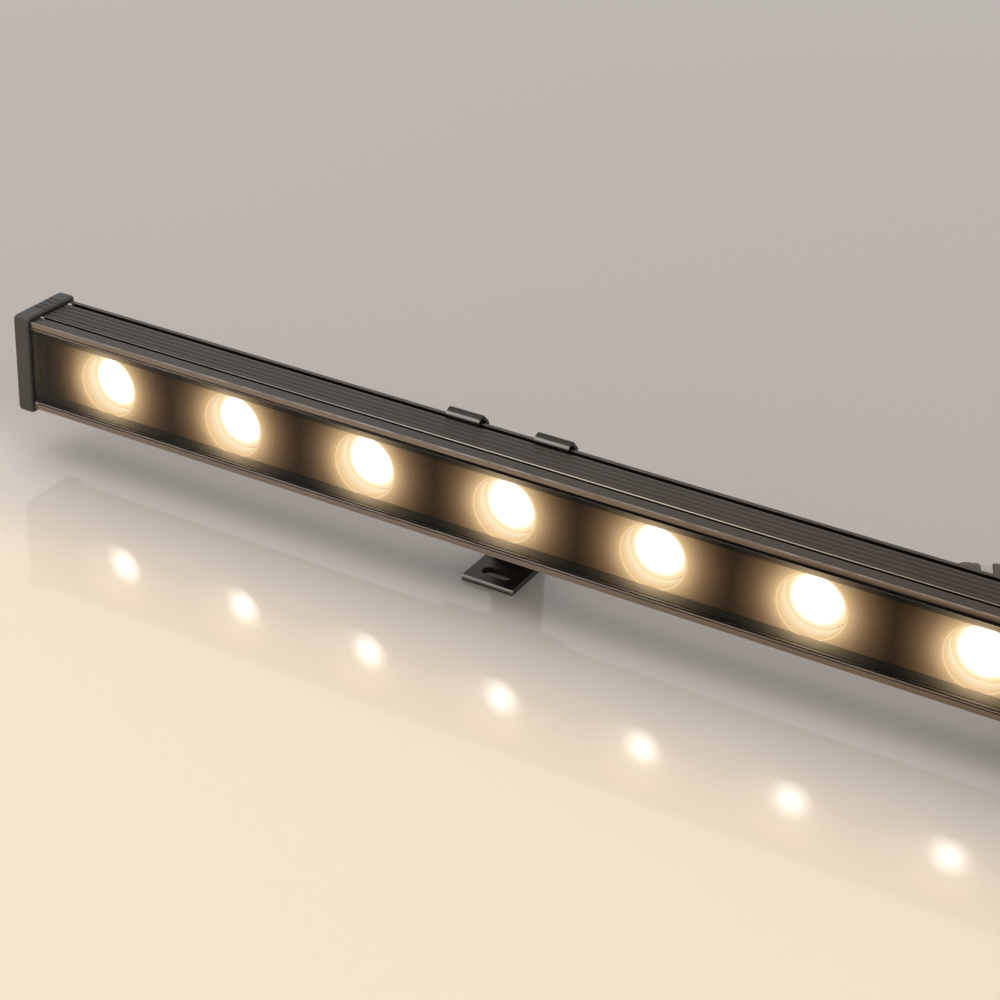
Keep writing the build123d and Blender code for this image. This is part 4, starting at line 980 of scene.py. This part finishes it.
# Painted highlight along the foot's rounded front edge.
foot_steel = highlit_steel(
    "foot_steel", (0.036, 0.029, 0.023), (0.076, 0.063, 0.053), (0.62, 0.57, 0.51),
    (foot_front_d + 0.35, foot_front_d + 0.65), (floor_h + 0.3, floor_h + 1.9),
)
foot_cheek = ear_outline(foot_rear_d - cheek_root, ear_r - hidden_fit)
slot_turn = np.linspace(0.0, 2 * math.pi, 48, endpoint=False)
for side_name, clip_x in clip_xs.items():
    foot_run = soft_ends(clip_x - foot_half, clip_x + foot_half)
    foot = meshed(side_name + "_tilt_foot", *carried(foot_outline, *foot_run))
    cheeks = []
    for low in (clip_x - foot_half + hidden_fit, clip_x + foot_half - foot_t - hidden_fit):
        cheeks.append(meshed("cheek", *carried(foot_cheek, *soft_ends(low, low + foot_t))))
    carved(foot, cheeks, "UNION")
    slot_plan = np.column_stack([
        clip_x + slot_half * np.sign(np.cos(slot_turn)) + slot_r * np.cos(slot_turn),
        front_y + slot_d + slot_r * np.sin(slot_turn),
    ])
    pivot_at = (clip_x, front_y + pivot_d, underside_z + pivot_h)
    carved(foot, [
        meshed("slot", *raised(slot_plan, -slot_overshoot, foot_t + slot_overshoot)),
        meshed("bolt_hole", *turned(bolt_hole, pivot_at, (1, 0, 0), hole_steps)),
    ])
    fitted(foot, side_name + "_stand", "bracket", foot_steel, side_name + "_foot", crease=40.0)

# Floor: a pale glossy sheet under the lamp, large enough to fill the view, that mirrors the
# lenses softly. Its colour is painted lighter in two bands: under the lamp as painted light that
# fills in the lamp's shadow, and warmer in front as a painted pool of light where the beam falls.
floor_size = 3.0
floor_mesh = bpy.data.meshes.new("floor")
floor_grid = np.array([(-1, -1, 0), (1, -1, 0), (1, 1, 0), (-1, 1, 0)], float) * floor_size
floor_mesh.from_pydata(floor_grid.tolist(), [], [(0, 1, 2, 3)])
floor = bpy.data.objects.new("floor", floor_mesh)
bpy.context.scene.collection.objects.link(floor)
floor_sheet, floor_tree, floor_shader = finish(
    "floor_sheet", (0.476, 0.421, 0.386), (0.490, 0.434, 0.398), (0.05, 0.08), 0.0,
    {"Speck": 300.0, "Cloud": 2.0}, depth=0.0, lines=0.0,
)
floor_y = position(floor_tree)["Y"]
floor_colour = floor_shader.inputs["Base Color"].links[0].from_socket
# Painted light: a lighter band under the lamp fills in its shadow, and a warmer one in front is the pool
# of the beam.
for band_start, band_end, painted_light_colour in (
    (0.022, -0.038, (0.745, 0.675, 0.605)), (-0.034, -0.082, (0.97, 0.815, 0.64)),
):
    painted_light_share = add_node(
        floor_tree, "ShaderNodeMapRange",
        {"Value": floor_y, "From Min": band_start, "From Max": band_end},
        interpolation_type="SMOOTHSTEP",
    ).outputs[0]
    floor_colour = mixed(floor_tree, painted_light_share, floor_colour, (*painted_light_colour, 1.0))
floor_tree.links.new(floor_colour, floor_shader.inputs["Base Color"])
floor_mesh.materials.append(floor_sheet)

# Light: one broad soft lamp high up on the left, turned towards the object, and an even pale sky.
# Both are close to white, and the lenses add the glow of their own material.
world = bpy.data.worlds.new("sky")
bpy.context.scene.world = world
world.use_nodes = True
sky = world.node_tree.nodes["Background"]
sky.inputs["Color"].default_value = (0.99, 0.985, 0.98, 1.0)
sky.inputs["Strength"].default_value = 0.75
soft_light = bpy.data.lights.new("soft_key", "AREA")
soft_light.color = (1.0, 0.98, 0.95)
soft_light.energy = 8.0
soft_light.size = 1.6
soft_light.spread = math.pi
soft_key = bpy.data.objects.new("soft_key", soft_light)
soft_key.location = (-0.5, -0.2, 1.5)
soft_key.rotation_euler = (-soft_key.location).to_track_quat("-Z", "Y").to_euler()
bpy.context.scene.collection.objects.link(soft_key)

# Camera: close to the lamp, above it and to the right of its middle, rolled a few degrees, so that
# the left end shows whole and the right end runs out of the picture.
camera_azimuth = math.radians(27.891)
camera_elevation = math.radians(28.802)
camera_roll = math.radians(3.037)
camera_distance = 0.6982
camera_target = Vector((-0.0534, -0.0172, 0.04217))
back = Vector((
    math.sin(camera_azimuth) * math.cos(camera_elevation),
    -math.cos(camera_azimuth) * math.cos(camera_elevation),
    math.sin(camera_elevation),
))
level = Vector((math.cos(camera_azimuth), math.sin(camera_azimuth), 0.0))
upright = back.cross(level)
right = level * math.cos(camera_roll) + upright * math.sin(camera_roll)
up = upright * math.cos(camera_roll) - level * math.sin(camera_roll)
camera_data = bpy.data.cameras.new("camera")
camera_data.sensor_width = 36.0
camera_data.lens = 78.95
camera_data.clip_start = 0.01
camera = bpy.data.objects.new("camera", camera_data)
turn = Matrix((right, up, back)).transposed().to_4x4()
camera.matrix_world = Matrix.Translation(camera_target + back * camera_distance) @ turn
bpy.context.scene.collection.objects.link(camera)
bpy.context.scene.camera = camera
bpy.context.scene.view_settings.view_transform = "Standard"
